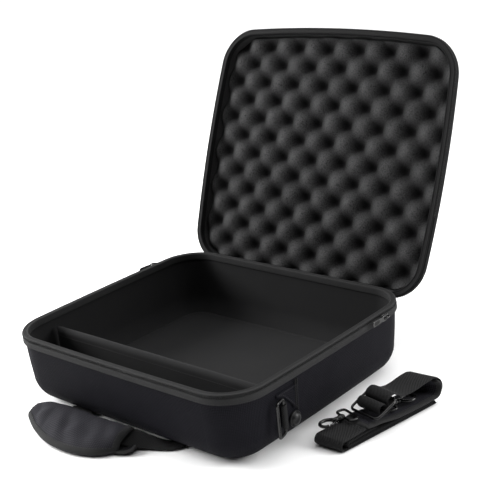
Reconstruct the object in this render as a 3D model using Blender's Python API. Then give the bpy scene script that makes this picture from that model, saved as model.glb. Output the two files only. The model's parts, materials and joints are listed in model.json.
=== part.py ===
"""Zip-up moulded carry case with an egg-crate foam lid, carrying handle and
detachable shoulder strap.  Metres, +Z up.  Origin: centre of the flat resting
face under the base.  +X is the right-hand wall, -Y the handle side, +Y the
hinge side.  The lid stands open; the strap lies folded beside the case."""
import math
import bpy
from mathutils import Matrix, Vector

# ------------------------------------------------------------------ sizes
BASE_W, BASE_D = 0.4000, 0.3520     # base rim, outside the band
BASE_R = 0.0530                     # rim corner radius seen from above
BASE_BOW = 0.0025                   # how far the side and front walls belly out
RIM_Z = 0.0984                      # top of the base rim
BAND_H = 0.0130                     # height of the fabric rim band
BAND_T = 0.0014                     # band fabric with its tape
SHELL_T = 0.0045                    # moulded shell with its lining
GAP = 0.0003                        # clearance between neighbouring pieces
BOTTOM_R = 0.0373                   # radius between wall and bottom
WALL_INSET = 0.0052                 # wall foot inside the band face

LID_W, LID_D = 0.3990, 0.3470
LID_R = 0.0470
LID_BOW_X, LID_BOW_F = 0.0080, 0.0090
LID_H = 0.0318                      # lid depth
LID_TOP_R = 0.0200

HINGE_Y, HINGE_Z = 0.17306, 0.08906 # fold line of the hinge fabric
LID_OPEN = 112.36                   # opening angle in degrees, closed = 0
LID_CLOSED_Z = 0.0994               # lid rim face when shut
BACK_Y = 0.1760                     # back face of both rims

PAD_T = 0.0080                      # floor pad
DIVIDER = (-0.1080, -0.0960, 0.0800)  # front face, back face, top edge
FOAM_NEAR, FOAM_PIT, FOAM_BACK = 0.0080, 0.0205, 0.0262  # depths below rim face
FOAM_PX, FOAM_PY = 0.0530, 0.0533   # egg-crate pitch across and along the lid
FOAM_X0, FOAM_Y0 = 0.0110, 0.0312   # one pit, from the middle of the lid
FOAM_EDGE = 0.0105                  # foam block inside the lid's outline

WEB_W, WEB_T = 0.0380, 0.0020       # shoulder strap and handle webbing
HANDLE_X = (-0.0900, 0.0725)        # where the two handle ends are fixed
HANDLE_AXIS = (-0.1745, 0.0030)     # y, z of the line the handle swings on
RING_AXIS = (-0.0975, )             # y of the strap ring's inner bar
RING_OUT = 0.0057                   # inner bar's stand-off from the wall
RING_Z = (0.0255, 0.0695)
RING_LEN = 0.0160                   # from inner bar to outer bar, centres
RING_BAR = 0.0016                   # ring bar radius

for o in list(bpy.data.objects):
    bpy.data.objects.remove(o, do_unlink=True)


# ------------------------------------------------------------------ helpers
def material(name, rgb, rough, metal=0.0):
    m = bpy.data.materials.new(name)
    m.use_nodes = True
    b = m.node_tree.nodes["Principled BSDF"]
    b.inputs["Base Color"].default_value = (*rgb, 1.0)
    b.inputs["Roughness"].default_value = rough
    b.inputs["Metallic"].default_value = metal
    m.diffuse_color = (*rgb, 1.0)
    return m


def mesh_object(name, verts, faces, mat, smooth=30.0, parent=None):
    me = bpy.data.meshes.new(name)
    me.from_pydata([tuple(v) for v in verts], [], faces)
    me.validate()
    me.update()
    ob = bpy.data.objects.new(name, me)
    bpy.context.scene.collection.objects.link(ob)
    me.materials.append(mat)
    if smooth:
        me.shade_smooth()
        me.set_sharp_from_angle(angle=math.radians(smooth))
    if parent is not None:
        ob.parent = parent
    return ob


def outward(verts, faces):
    """Turn the faces round when the enclosed volume comes out negative."""
    vol = 0.0
    for f in faces:
        a = Vector(verts[f[0]])
        for i in range(1, len(f) - 1):
            vol += a.dot(Vector(verts[f[i]]).cross(Vector(verts[f[i + 1]])))
    return faces if vol > 0 else [tuple(reversed(f)) for f in faces]


def loft(name, rings, mat, closed_loop=False, caps=True, **kw):
    """Skin a row of equal rings into one closed solid."""
    n, m = len(rings[0]), len(rings)
    verts = [v for r in rings for v in r]
    faces = []
    for i in range(m if closed_loop else m - 1):
        a, b = i * n, ((i + 1) % m) * n
        for j in range(n):
            k = (j + 1) % n
            faces.append((a + j, a + k, b + k, b + j))
    if caps and not closed_loop:
        faces.append(tuple(reversed(range(n))))
        faces.append(tuple(range((m - 1) * n, m * n)))
    return mesh_object(name, verts, outward(verts, faces), mat, **kw)


def outline(w, d, r, bow_x=0.0, bow_f=0.0, off=0.0, n=6, side=4):
    """Rounded rectangle, anticlockwise from the front right corner, its sides
    and front bellied out and its back straight."""
    w2, d2, r2 = w / 2 - off, d / 2 - off, max(r - off, 0.004)
    pts = []
    corners = ((1, -1, -90), (1, 1, 0), (-1, 1, 90), (-1, -1, 180))
    arcs = []
    for sx, sy, a0 in corners:
        arcs.append([(sx * (w2 - r2) + r2 * math.cos(math.radians(a0 + 90 * i / n)),
                      sy * (d2 - r2) + r2 * math.sin(math.radians(a0 + 90 * i / n)))
                     for i in range(n + 1)])
    for i, arc in enumerate(arcs):
        pts += arc
        a, b = arc[-1], arcs[(i + 1) % 4][0]
        for k in range(1, side):
            t = k / side
            pts.append((a[0] + (b[0] - a[0]) * t, a[1] + (b[1] - a[1]) * t))
    out = []
    for x, y in pts:
        bx = bow_x * (x / w2) * (1 - (y / d2) ** 2)
        by = bow_f * (y / d2) * (1 - (x / w2) ** 2) if y < 0 else 0.0
        out.append((x + bx, y + by))
    return out


def base_ring(off, z, **kw):
    return [Vector((x, y, z)) for x, y in
            outline(BASE_W, BASE_D, BASE_R, BASE_BOW, BASE_BOW, off, **kw)]


def lid_ring(off, t, **kw):
    """Outline of the shut lid, t above its rim face, measured from the hinge."""
    q = outline(LID_W, LID_D, LID_R, LID_BOW_X, LID_BOW_F, off, **kw)
    return [Vector((x, y + BACK_Y - LID_D / 2 - HINGE_Y, LID_CLOSED_Z + t - HINGE_Z))
            for x, y in q]


def strip(name, path, across, width, thick, mat, taper=None, **kw):
    """Flat band along a path; across is the direction of its width."""
    across = Vector(across).normalized()
    rings = []
    for i, p in enumerate(path):
        p = Vector(p)
        a = Vector(path[max(i - 1, 0)])
        b = Vector(path[min(i + 1, len(path) - 1)])
        t = (b - a).normalized()
        w = across[i] if isinstance(across, list) else across
        nrm = t.cross(w).normalized()
        h = thick / 2
        k = width / 2 * (taper[i] if taper else 1.0)
        rings.append([p - w * k - nrm * h, p + w * k - nrm * h,
                      p + w * k + nrm * h, p - w * k + nrm * h])
    return loft(name, rings, mat, **kw)


def tube(path, radius, sides=8, closed=False, name="tube", mat=None, flat=1.0,
         up=Vector((0, 0, 1)), radii=None, **kw):
    """Round or oval bar along a path."""
    rings = []
    m = len(path)
    for i, p in enumerate(path):
        p = Vector(p)
        a = Vector(path[(i - 1) % m if closed else max(i - 1, 0)])
        b = Vector(path[(i + 1) % m if closed else min(i + 1, m - 1)])
        t = (b - a).normalized()
        s = up - t * up.dot(t)
        s = s.normalized() if s.length > 1e-6 else t.orthogonal().normalized()
        q = t.cross(s)
        r = radii[i] if radii else radius
        rings.append([p + (q * math.cos(2 * math.pi * (k + .5) / sides)
                           + s * (flat * math.sin(2 * math.pi * (k + .5) / sides))) * r
                      for k in range(sides)])
    return loft(name, rings, mat, closed_loop=closed, **kw)


def union(target, tool):
    """Weld a second closed shape into the first."""
    tool.hide_render = True
    tool.display_type = "WIRE"
    mod = target.modifiers.new("weld_" + tool.name, "BOOLEAN")
    mod.operation = "UNION"
    mod.solver = "EXACT"
    mod.object = tool


def rounded(cx, cy, w, h, r, n=4):
    pts = []
    for sx, sy, a0 in ((1, -1, -90), (1, 1, 0), (-1, 1, 90), (-1, -1, 180)):
        for i in range(n + 1):
            a = math.radians(a0 + 90 * i / n)
            pts.append((cx + sx * (w / 2 - r) + r * math.cos(a),
                        cy + sy * (h / 2 - r) + r * math.sin(a)))
    return pts


# ------------------------------------------------------------------ materials
SHELL = material("ballistic_fabric", (0.020, 0.020, 0.024), 0.75)
BAND = material("woven_tape", (0.032, 0.032, 0.033), 0.80)
ZIP = material("zipper_coil", (0.024, 0.024, 0.025), 0.45)
FOAM = material("charcoal_foam", (0.050, 0.050, 0.052), 0.95)
LINING = material("lining_fabric", (0.016, 0.016, 0.017), 0.85)
WEBBING = material("webbing", (0.028, 0.028, 0.029), 0.78)
PADDING = material("mesh_padding", (0.040, 0.040, 0.041), 0.85)
METAL = material("black_enamel_metal", (0.020, 0.020, 0.021), 0.28, 0.6)
PLASTIC = material("black_plastic", (0.022, 0.022, 0.023), 0.40)

# ------------------------------------------------------------------ base
# Moulded tub: bottom, bottom radius, drafted walls, then back down the inside.
rings = []
for i in range(6):
    a = math.pi / 2 * i / 5
    rings.append(base_ring(WALL_INSET + BOTTOM_R * (1 - math.sin(a)),
                           BOTTOM_R * (1 - math.cos(a))))
rings.append(base_ring(0.0020, RIM_Z - BAND_H - 0.0005))
rings.append(base_ring(BAND_T + GAP, RIM_Z - BAND_H + 0.0015))
rings.append(base_ring(BAND_T + GAP, RIM_Z - BAND_T - GAP))
rings.append(base_ring(BAND_T + GAP + SHELL_T, RIM_Z - BAND_T - GAP))
rings.append(base_ring(BAND_T + GAP + SHELL_T, RIM_Z - BAND_H + 0.0015))
INNER_R = BOTTOM_R - SHELL_T
for i in range(5, -1, -1):
    a = math.pi / 2 * i / 5
    rings.append(base_ring(WALL_INSET + SHELL_T + INNER_R * (1 - math.sin(a)),
                           SHELL_T + INNER_R * (1 - math.cos(a))))
loft("base_shell", rings, SHELL)


def band(name, ring, top, bottom, inner_bottom, up, mat, parent=None):
    """Folded fabric band over the shell's edge, an open-bottomed U all round."""
    t, g, s = BAND_T, GAP, SHELL_T
    w = 2 * t + 2 * g + s
    prof = [(0, bottom), (0, top - up * 0.0010), (0.0008, top), (w - 0.0008, top),
            (w, top - up * 0.0010), (w, inner_bottom), (w - t, inner_bottom),
            (w - t, top - up * t), (t, top - up * t), (t, bottom)]
    loops = [ring(o, z) for o, z in prof]
    n = len(loops[0])
    rr = [[loops[k][j] for k in range(len(loops))] for j in range(n)]
    return loft(name, rr, mat, closed_loop=True, parent=parent)


band("base_rim_band", base_ring, RIM_Z, RIM_Z - BAND_H, RIM_Z - 0.0095, 1, BAND)


def coil(name, ring, start, stop, z0, z1, proud, mat, parent=None):
    """Zipper coil along three sides of a rim, standing proud of the band."""
    lo, hi = ring(-GAP, z0), ring(-GAP, z1)
    lo2, hi2 = ring(-proud, z0 + 0.0006), ring(-proud, z1 - 0.0006)
    n = len(lo)
    idx = [(start + k) % n for k in range((stop - start) % n + 1)]
    rr = [[lo[j], lo2[j], hi2[j], hi[j]] for j in idx]
    return loft(name, rr, mat, parent=parent)


# outline indices: front right 0-6, right side 7-9, back right 10-16, back 17-19,
# back left 20-26, left side 27-29, front left 30-36, front 37-39
coil("base_zipper_coil", base_ring, 28, 9, RIM_Z - 0.0062, RIM_Z - 0.0030, 0.0016, ZIP)

pad = [base_ring(WALL_INSET + SHELL_T + o, z) for o, z in
       ((0.0345, SHELL_T + GAP), (0.0190, SHELL_T + 0.0062), (0.0160, SHELL_T + PAD_T))]
loft("floor_pad", pad, LINING)

# padded divider that walls off the cable compartment along the front
dy0, dy1, dz = DIVIDER
sect = rounded((dy0 + dy1) / 2, (SHELL_T + PAD_T + 2 * GAP + dz) / 2, dy1 - dy0,
               dz - SHELL_T - PAD_T - 2 * GAP, 0.0035, 2)


def divider_half(z):
    """Half length of the divider at height z, clear of the curved walls."""
    h = max(BOTTOM_R - z, 0.0)
    foot = WALL_INSET + BOTTOM_R - math.sqrt(max(BOTTOM_R ** 2 - h ** 2, 0.0))
    return BASE_W / 2 - foot - SHELL_T - 0.0030


rr = []
for s in (-1, -0.5, 0, 0.5, 1):
    rr.append([Vector((s * divider_half(z), y, z)) for y, z in sect])
loft("cable_divider", rr, LINING)

# ------------------------------------------------------------------ lid
lid = bpy.data.objects.new("lid_pivot", None)
bpy.context.scene.collection.objects.link(lid)
lid.location = (0, HINGE_Y, HINGE_Z)
lid.rotation_euler = (-math.radians(LID_OPEN), 0, 0)

LR, LI = LID_TOP_R, LID_TOP_R - SHELL_T
rings = []
for i in range(4, 0, -1):
    a = math.pi / 2 * i / 4
    rings.append(lid_ring(0.0030 + LR * (1 - math.cos(a)), LID_H - LR + LR * math.sin(a)))
rings += [lid_ring(0.0022, 0.0118), lid_ring(BAND_T + GAP, BAND_T + GAP),
          lid_ring(BAND_T + GAP + SHELL_T, BAND_T + GAP),
          lid_ring(BAND_T + GAP + SHELL_T, 0.0094)]
for i in range(5):
    a = math.pi / 2 * i / 4
    rings.append(lid_ring(0.0030 + SHELL_T + LI * (1 - math.cos(a)),
                          LID_H - LR + LI * math.sin(a)))
loft("lid_shell", rings, SHELL, parent=lid)
band("lid_rim_band", lid_ring, 0.0, 0.0110, 0.0085, -1, BAND, lid)
coil("lid_zipper_coil", lid_ring, 28, 9, 0.0030, 0.0062, 0.0016, ZIP, lid)

# Egg-crate foam: bumpy near face over a plain block whose back edge is cut to
# follow the lid's inside radius.
shift = BACK_Y - LID_D / 2 - HINGE_Y
zf = LID_CLOSED_Z - HINGE_Z
FW, FD, FR = LID_W / 2 - FOAM_EDGE, LID_D / 2 - FOAM_EDGE, LID_R - FOAM_EDGE


def foam_depth(x, y):
    """Depth of the foam face below the rim face; peaks and pits alternate."""
    c = (math.cos(2 * math.pi * (x - FOAM_X0) / FOAM_PX)
         * math.cos(2 * math.pi * (y - FOAM_Y0) / FOAM_PY))
    return (FOAM_NEAR + FOAM_PIT) / 2 + (FOAM_PIT - FOAM_NEAR) / 2 * c


def foam_xy(s, y):
    """Point of the foam block's outline grid: s across from -1 to 1."""
    e = max(abs(y) - (FD - FR), 0.0)
    x = s * (FW - FR + math.sqrt(max(FR * FR - e * e, 0.0)))
    bx = LID_BOW_X * (x / FW) * (1 - (y / FD) ** 2)
    by = LID_BOW_F * (y / FD) * (1 - (x / FW) ** 2) if y < 0 else 0.0
    return x + bx, y + by


ends = [FD - FR + FR * math.sin(math.radians(a)) for a in (90, 68, 48, 30, 14)]
inner_rows = 26
mid = [(FD - FR) * (1 - 2 * k / inner_rows) for k in range(inner_rows + 1)]
rows = ends + mid + [-y for y in reversed(ends)]
cols = 36
verts, faces = [], []
for i, y in enumerate(rows):
    for k in range(cols + 1):
        px, py = foam_xy(2 * k / cols - 1, y)
        d = foam_depth(px, py)
        if i in (0, len(rows) - 1) or k in (0, cols):
            d = min(d, 0.0172)
        verts.append(Vector((px, py + shift, zf + d)))
nr, nc = len(rows), cols + 1
for i in range(nr - 1):
    for k in range(cols):
        a = i * nc + k
        faces.append((a, a + 1, a + nc + 1, a + nc))
rim = [k for k in range(nc)] + [i * nc + cols for i in range(1, nr)]
rim += [(nr - 1) * nc + k for k in range(cols - 1, -1, -1)]
rim += [i * nc for i in range(nr - 2, 0, -1)]
side, back = len(verts), len(verts) + len(rim)
for j in rim:
    verts.append(Vector((verts[j].x, verts[j].y, zf + 0.0184)))
ks, kt = (FW - 0.0100) / FW, (FD - 0.0100) / FD
for j in rim:
    verts.append(Vector((verts[j].x * ks, (verts[j].y - shift) * kt + shift, zf + FOAM_BACK)))
n = len(rim)
for j in range(n):
    k = (j + 1) % n
    faces.append((rim[k], rim[j], side + j, side + k))
    faces.append((side + k, side + j, back + j, back + k))
faces.append(tuple(reversed(range(back, back + n))))
mesh_object("lid_foam", verts, outward(verts, faces), FOAM, parent=lid)

# Hinge fabric: hangs down behind the base band and turns up under the lid band.
th = math.radians(LID_OPEN)


def lid_point(y, z):
    """A point of the shut lid (y, z) carried round to the open position."""
    dy, dz = y - HINGE_Y, z - HINGE_Z
    return (HINGE_Y + dy * math.cos(th) + dz * math.sin(th),
            HINGE_Z - dy * math.sin(th) + dz * math.cos(th))


path = [(0, BACK_Y + 0.0009, 0.0950), (0, BACK_Y + 0.0009, 0.0880),
        (0, BACK_Y + 0.0009, 0.0810), (0, BACK_Y + 0.0018, 0.0790)]
for z in (0.0030, 0.0070, 0.0105):
    y, zz = lid_point(BACK_Y + 0.0009, LID_CLOSED_Z + z)
    path.append((0, y, zz))
strip("hinge_panel", path, (1, 0, 0), 0.2800, 0.0011, BAND)

# ------------------------------------------------------------------ zipper sliders
SLIDE_Y = 0.1060                    # where the sliders rest, near the hinge


def wall_x(y, off):
    d2 = BASE_D / 2 - off
    return BASE_W / 2 - off + BASE_BOW * (1 - (y / d2) ** 2)


for sx, tag in ((1, "right"), (-1, "left")):
    x0 = wall_x(SLIDE_Y, 0.0) + 0.0042
    zc = RIM_Z - 0.0046
    # slider body: plate over the coil with a crown for the pull
    body = []
    for y, hw, t in ((-0.0062, 0.0030, 0.0012), (-0.0040, 0.0044, 0.0022),
                     (0.0040, 0.0036, 0.0022), (0.0062, 0.0028, 0.0012)):
        body.append([Vector((sx * (x0 - 0.0006), SLIDE_Y + y, zc - hw)),
                     Vector((sx * (x0 - 0.0006 + t), SLIDE_Y + y, zc - hw * 0.8)),
                     Vector((sx * (x0 - 0.0006 + t), SLIDE_Y + y, zc + hw * 0.8)),
                     Vector((sx * (x0 - 0.0006), SLIDE_Y + y, zc + hw))])
    ob = loft("zip_slider_" + tag, body, METAL)
    arch = tube([Vector((sx * (x0 + 0.0010 + h), SLIDE_Y + y, zc)) for y, h in
                 ((-0.0042, 0.0), (-0.0038, 0.0026), (-0.0018, 0.0041), (0.0018, 0.0041),
                  (0.0038, 0.0026), (0.0042, 0.0))], 0.0008, 6,
                name="slider_arch_" + tag, mat=METAL)
    union(ob, arch)
    # pull tab: its crossbar lies under the crown, its tongue along the band
    tab = bpy.data.objects.new("pull_pivot_" + tag, None)
    bpy.context.scene.collection.objects.link(tab)
    tab.location = (sx * (x0 + 0.0030), SLIDE_Y, zc)
    outer = rounded(-0.0148, 0.0, 0.0310, 0.0076, 0.0030, 3)
    inner = rounded(-0.0037, 0.0, 0.0060, 0.0042, 0.0012, 3)
    ti = 0.0006
    vs, fs = [], []
    for x in (-ti, ti):
        vs += [Vector((sx * x, p, q)) for p, q in outer]
        vs += [Vector((sx * x, p, q)) for p, q in inner]
    m = len(outer)
    for j in range(m):
        k = (j + 1) % m
        a, b, c, d = j, k, m + k, m + j
        fs += [(a, b, c, d), (2 * m + d, 2 * m + c, 2 * m + b, 2 * m + a),
               (a, 2 * m + a, 2 * m + b, b), (c, 2 * m + c, 2 * m + d, d)]
    mesh_object("zip_pull_" + tag, vs, outward(vs, fs), METAL, parent=tab)

# ------------------------------------------------------------------ strap anchors
for sx, tag in ((1, "right"), (-1, "left")):
    def wall(y, z):
        """Outer face of the side wall at y, z."""
        if z < BOTTOM_R:
            off = WALL_INSET + BOTTOM_R - math.sqrt(BOTTOM_R ** 2 - (BOTTOM_R - z) ** 2)
        else:
            f = (z - BOTTOM_R) / (RIM_Z - BAND_H - 0.0005 - BOTTOM_R)
            off = WALL_INSET + (0.0020 - WALL_INSET) * min(f, 1.0)
        return wall_x(y, off)

    # triangular stitched patch, flat against the wall
    tri = [(-0.1060, 0.0770), (-0.0880, 0.0770), (-0.0690, 0.0770), (-0.0690, 0.0560),
           (-0.0690, 0.0425), (-0.0800, 0.0540), (-0.0940, 0.0690), (-0.1060, 0.0730)]
    a = [Vector((sx * (wall(y, z) + GAP), y, z)) for y, z in tri]
    b = [Vector((sx * (wall(y, z) + GAP + 0.0022), y, z)) for y, z in tri]
    loft("anchor_patch_" + tag, [a, b], SHELL)
    # webbing tab round the inner bar of the ring, sewn flat to the wall behind it
    yb = RING_AXIS[0]
    cx = wall(yb, 0.048) + RING_OUT
    sect2 = []
    for z in (0.0300, 0.0520):
        base = wall(yb, z) + GAP + 0.0003
        r = RING_BAR + GAP + 0.0012
        pts = [Vector((sx * base, yb + 0.0100, z)), Vector((sx * base, yb + 0.0030, z)),
               Vector((sx * (cx - r * 0.9), yb - r * 0.45, z)),
               Vector((sx * (cx - r * 0.45), yb - r * 0.9, z)),
               Vector((sx * (cx + r * 0.45), yb - r * 0.9, z)),
               Vector((sx * (cx + r * 0.9), yb - r * 0.45, z)),
               Vector((sx * (cx + r * 0.9), yb + r * 0.6, z)),
               Vector((sx * (base + 0.0034), yb + 0.0058, z)),
               Vector((sx * (base + 0.0030), yb + 0.0100, z))]
        sect2.append(pts)
    ob = loft("anchor_tab_" + tag, sect2, WEBBING)
    hole = tube([Vector((sx * cx, yb, 0.0200)), Vector((sx * cx, yb, 0.0700))],
                RING_BAR + 0.0005, 8, name="tab_hole_" + tag, mat=WEBBING,
                up=Vector((0, 1, 0)))
    hole.hide_render = True
    hole.display_type = "WIRE"
    cut = ob.modifiers.new("bar_hole", "BOOLEAN")
    cut.operation = "DIFFERENCE"
    cut.solver = "EXACT"
    cut.object = hole
    # rectangular ring, its inner bar on the swing axis
    piv = bpy.data.objects.new("ring_pivot_" + tag, None)
    bpy.context.scene.collection.objects.link(piv)
    piv.location = (sx * cx, yb, 0.0)
    piv.rotation_euler = (0, 0, sx * math.radians(14.0))
    z0, z1 = RING_Z
    loop = [Vector((0, -y, z)) for y, z in
            rounded(RING_LEN / 2, (z0 + z1) / 2, RING_LEN, z1 - z0, 0.0032, 3)]
    tube(loop, RING_BAR, 8, closed=True, name="strap_ring_" + tag, mat=METAL,
         up=Vector((1, 0, 0)), parent=piv)
    # dome-headed rivet just behind the ring
    yc, zc = -0.0745, 0.0320
    prof = [(0.0098, 0.0), (0.0098, 0.0022), (0.0088, 0.0042), (0.0062, 0.0060),
            (0.0030, 0.0068)]
    xw = wall(yc, zc + 0.009) + GAP
    rr = [[Vector((sx * (xw + h), yc + r * math.cos(2 * math.pi * k / 14),
                   zc + r * math.sin(2 * math.pi * k / 14))) for k in range(14)]
          for r, h in prof]
    loft("anchor_rivet_" + tag, rr, PLASTIC)

# ------------------------------------------------------------------ handle
hy, hz = HANDLE_AXIS


def under(y, drop):
    """Height of the front bottom radius at y, less a drop below it."""
    dy = abs(y) - (BASE_D / 2 - WALL_INSET - BOTTOM_R) - BASE_BOW
    dy = min(max(dy, 0.0), BOTTOM_R)
    return BOTTOM_R - math.sqrt(BOTTOM_R ** 2 - dy ** 2) - drop


for s, tag in ((-1, "left"), (1, "right")):
    ys = (-0.1500, -0.1530, -0.1560, -0.1600, -0.1640, -0.1690, -0.1735)
    pts = []
    for y in ys:
        z = min(under(y, GAP + WEB_T / 2 + 0.0003), 0.0042) if y > -0.1570 else None
        if z is None:
            f = (abs(y) - 0.1560) / 0.0175
            z = 0.0042 + (0.0021 - 0.0042) * f
        pts.append((HANDLE_X[s > 0], y, max(z, 0.0011)))
    strip("handle_end_" + tag, pts, (1, 0, 0), WEB_W, WEB_T, WEBBING)

hand = bpy.data.objects.new("handle_pivot", None)
bpy.context.scene.collection.objects.link(hand)
hand.location = (0, hy, hz)


def hp(x, y, z):
    return Vector((x, y - hy, z - hz))


def ribbon(name, centre, sides, thick, mat, parent=None):
    """Flat band given by its centre line and its half-width vectors."""
    rr = []
    for i, (p, w) in enumerate(zip(centre, sides)):
        a, b = centre[max(i - 1, 0)], centre[min(i + 1, len(centre) - 1)]
        t = (b - a).normalized()
        nrm = t.cross(w).normalized() * (thick / 2)
        rr.append([p - w - nrm, p + w - nrm, p + w + nrm, p - w + nrm])
    return loft(name, rr, mat, parent=parent)


# moving webbing: left leg into the grip, run through it, right leg back to the case
cen = [(-0.0900, -0.1755, 0.0030), (-0.0900, -0.1785, 0.0046), (-0.0895, -0.1820, 0.0062),
       (-0.0860, -0.1900, 0.0076), (-0.0760, -0.1980, 0.0086), (-0.0580, -0.2020, 0.0092),
       (-0.0300, -0.2030, 0.0094), (0.0000, -0.2000, 0.0092), (0.0220, -0.1960, 0.0080),
       (0.0380, -0.1925, 0.0056), (0.0500, -0.1890, 0.0040), (0.0620, -0.1850, 0.0032),
       (0.0700, -0.1810, 0.0030), (0.0725, -0.1755, 0.0030)]
sid = [(0.0190, 0.0), (0.0190, 0.0005), (0.0188, 0.0020), (0.0170, 0.0070), (0.0115, 0.0115),
       (0.0040, 0.0145), (0.0, 0.0150), (-0.0020, 0.0140), (-0.0035, 0.0120),
       (-0.0050, 0.0115), (-0.0075, 0.0105), (-0.0120, 0.0090), (-0.0165, 0.0055),
       (-0.0190, 0.0)]
ribbon("handle_webbing", [hp(*p) for p in cen], [Vector((x, y, 0)) for x, y in sid],
       WEB_T, WEBBING, hand)

# padded wrap: folded lengthwise round the webbing, open along the case side
T = 0.0036
GRIP = ((-0.1460, -0.1840, -0.1990, 0.0110), (-0.1350, -0.1800, -0.2090, 0.0160),
        (-0.1150, -0.1780, -0.2215, 0.0198), (-0.0850, -0.1775, -0.2325, 0.0218),
        (-0.0500, -0.1775, -0.2380, 0.0224), (-0.0200, -0.1775, -0.2375, 0.0226),
        (0.0080, -0.1775, -0.2310, 0.0226), (0.0330, -0.1775, -0.2220, 0.0224))
rr = []
for x, yf, yn, h in GRIP:
    k = min(1.0, (yf - yn) / 0.060)
    mid = (yf + yn) / 2
    pts = [(yf - 0.0035, 0.0006), (yn + 0.008 * k, 0.0006), (yn + 0.001 * k, 0.0030),
           (yn, 0.0062), (yn + 0.007 * k, h * 0.52), (yn + 0.019 * k, h * 0.80), (mid, h * 0.94),
           (yf - 0.011 * k, h), (yf, h * 0.82), (yf - 0.0005, h * 0.82 - 0.0034),
           (yf - 0.0115 * k, h - T), (mid, h * 0.94 - T), (yn + 0.021 * k, h * 0.80 - T),
           (yn + 0.0125 * k, h * 0.52 - T * 0.45), (yn + 0.0078 * k, 0.0060),
           (yn + 0.0110 * k, 0.0042), (yf - 0.0035, 0.0042)]
    rr.append([hp(x, y, z) for y, z in pts])
loft("handle_grip", rr, PADDING, parent=hand)

# ------------------------------------------------------------------ shoulder strap
# Folded hank beside the case.  u runs along it from the near fold, v across it.
SA = math.radians(10.0)
S0 = (0.2405, -0.0710)


def sp(u, v, z):
    return Vector((S0[0] + u * math.sin(SA) + v * math.cos(SA),
                   S0[1] + u * math.cos(SA) - v * math.sin(SA), z))


ACROSS = Vector((math.cos(SA), -math.sin(SA), 0))


def arc(cu, cz, r, a0, a1, n):
    return [(cu + r * math.cos(math.radians(a0 + (a1 - a0) * i / n)),
             cz + r * math.sin(math.radians(a0 + (a1 - a0) * i / n))) for i in range(n + 1)]


def web(name, path, width=WEB_W, thick=WEB_T, mat=WEBBING, v=0.0):
    return strip(name, [sp(u, v, z) for u, z in path], ACROSS, width, thick, mat)


# lower run: inner fold, along, back along the floor and round the outer fold
low = [(0.062, 0.0106), (0.036, 0.0106), (0.0170, 0.0106)]
low += arc(0.0145, 0.0079, 0.0027, 90, 270, 4)[1:]
low += [(0.040, 0.0050), (0.080, 0.0048), (0.120, 0.0048), (0.142, 0.0048)]
low += arc(0.1440, 0.0031, 0.0018, 70, -70, 3)
low += [(0.120, 0.0013), (0.080, 0.0013), (0.040, 0.0013), (0.0095, 0.0013)]
low += arc(0.0085, 0.0082, 0.0069, -100, -260, 6)
low += [(0.020, 0.0152), (0.034, 0.0153), (0.0455, 0.0152)]
web("strap_webbing_lower", low)

# padded shoulder piece, its far end curled up and over
pad = [(0.0470, 0.0156), (0.060, 0.0156), (0.074, 0.0142), (0.090, 0.0112), (0.110, 0.0095),
       (0.130, 0.0092), (0.148, 0.0093)]
pad += arc(0.1570, 0.0205, 0.0112, -80, 75, 8)
pad += [(0.1560, 0.0320)]
web("shoulder_pad", pad, width=0.0410, thick=0.0046, mat=PADDING)

# slide adjuster: rounded frame with a middle bar, lying tilted on the pad
AT = math.radians(20.0)
AC = (0.0770, 0.0290)


def adj(p, q):
    """Point of the adjuster's own plane: p along the strap, q across."""
    return sp(AC[0] + p * math.cos(AT), q, AC[1] + p * math.sin(AT))


frame = tube([adj(p, q) for p, q in rounded(0.0, 0.0, 0.0360, 0.0450, 0.0060, 3)], 0.0017,
             8, closed=True, name="slide_adjuster", mat=METAL)
midbar = tube([adj(0.0, q) for q in (-0.0225, 0.0, 0.0225)], 0.0014, 8,
              name="adjuster_bar", mat=METAL, up=Vector((0, 0, 1)))
union(frame, midbar)


def rel(points):
    """Points of the adjuster's side view, p along it and h above its plane."""
    return [(AC[0] + p * math.cos(AT) - h * math.sin(AT),
             AC[1] + p * math.sin(AT) + h * math.cos(AT)) for p, h in points]


upper = [(0.1500, 0.0324), (0.140, 0.0322), (0.128, 0.0315), (0.116, 0.0318), (0.106, 0.0345)]
upper += rel([(0.0220, 0.0046), (0.0175, 0.0068), (0.0125, 0.0068), (0.0085, 0.0046),
              (0.0068, 0.0012), (0.0072, -0.0028), (0.0100, -0.0052), (0.0150, -0.0060),
              (0.0200, -0.0062)])
web("strap_webbing_upper", upper)
loop = rel([(0.0080, -0.0085), (0.0020, -0.0085), (-0.0040, -0.0070), (-0.0075, -0.0035),
            (-0.0085, 0.0010), (-0.0070, 0.0050), (-0.0030, 0.0068), (0.0010, 0.0060),
            (0.0034, 0.0030), (0.0038, -0.0010), (0.0030, -0.0045)])
web("strap_webbing_loop", loop)

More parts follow.
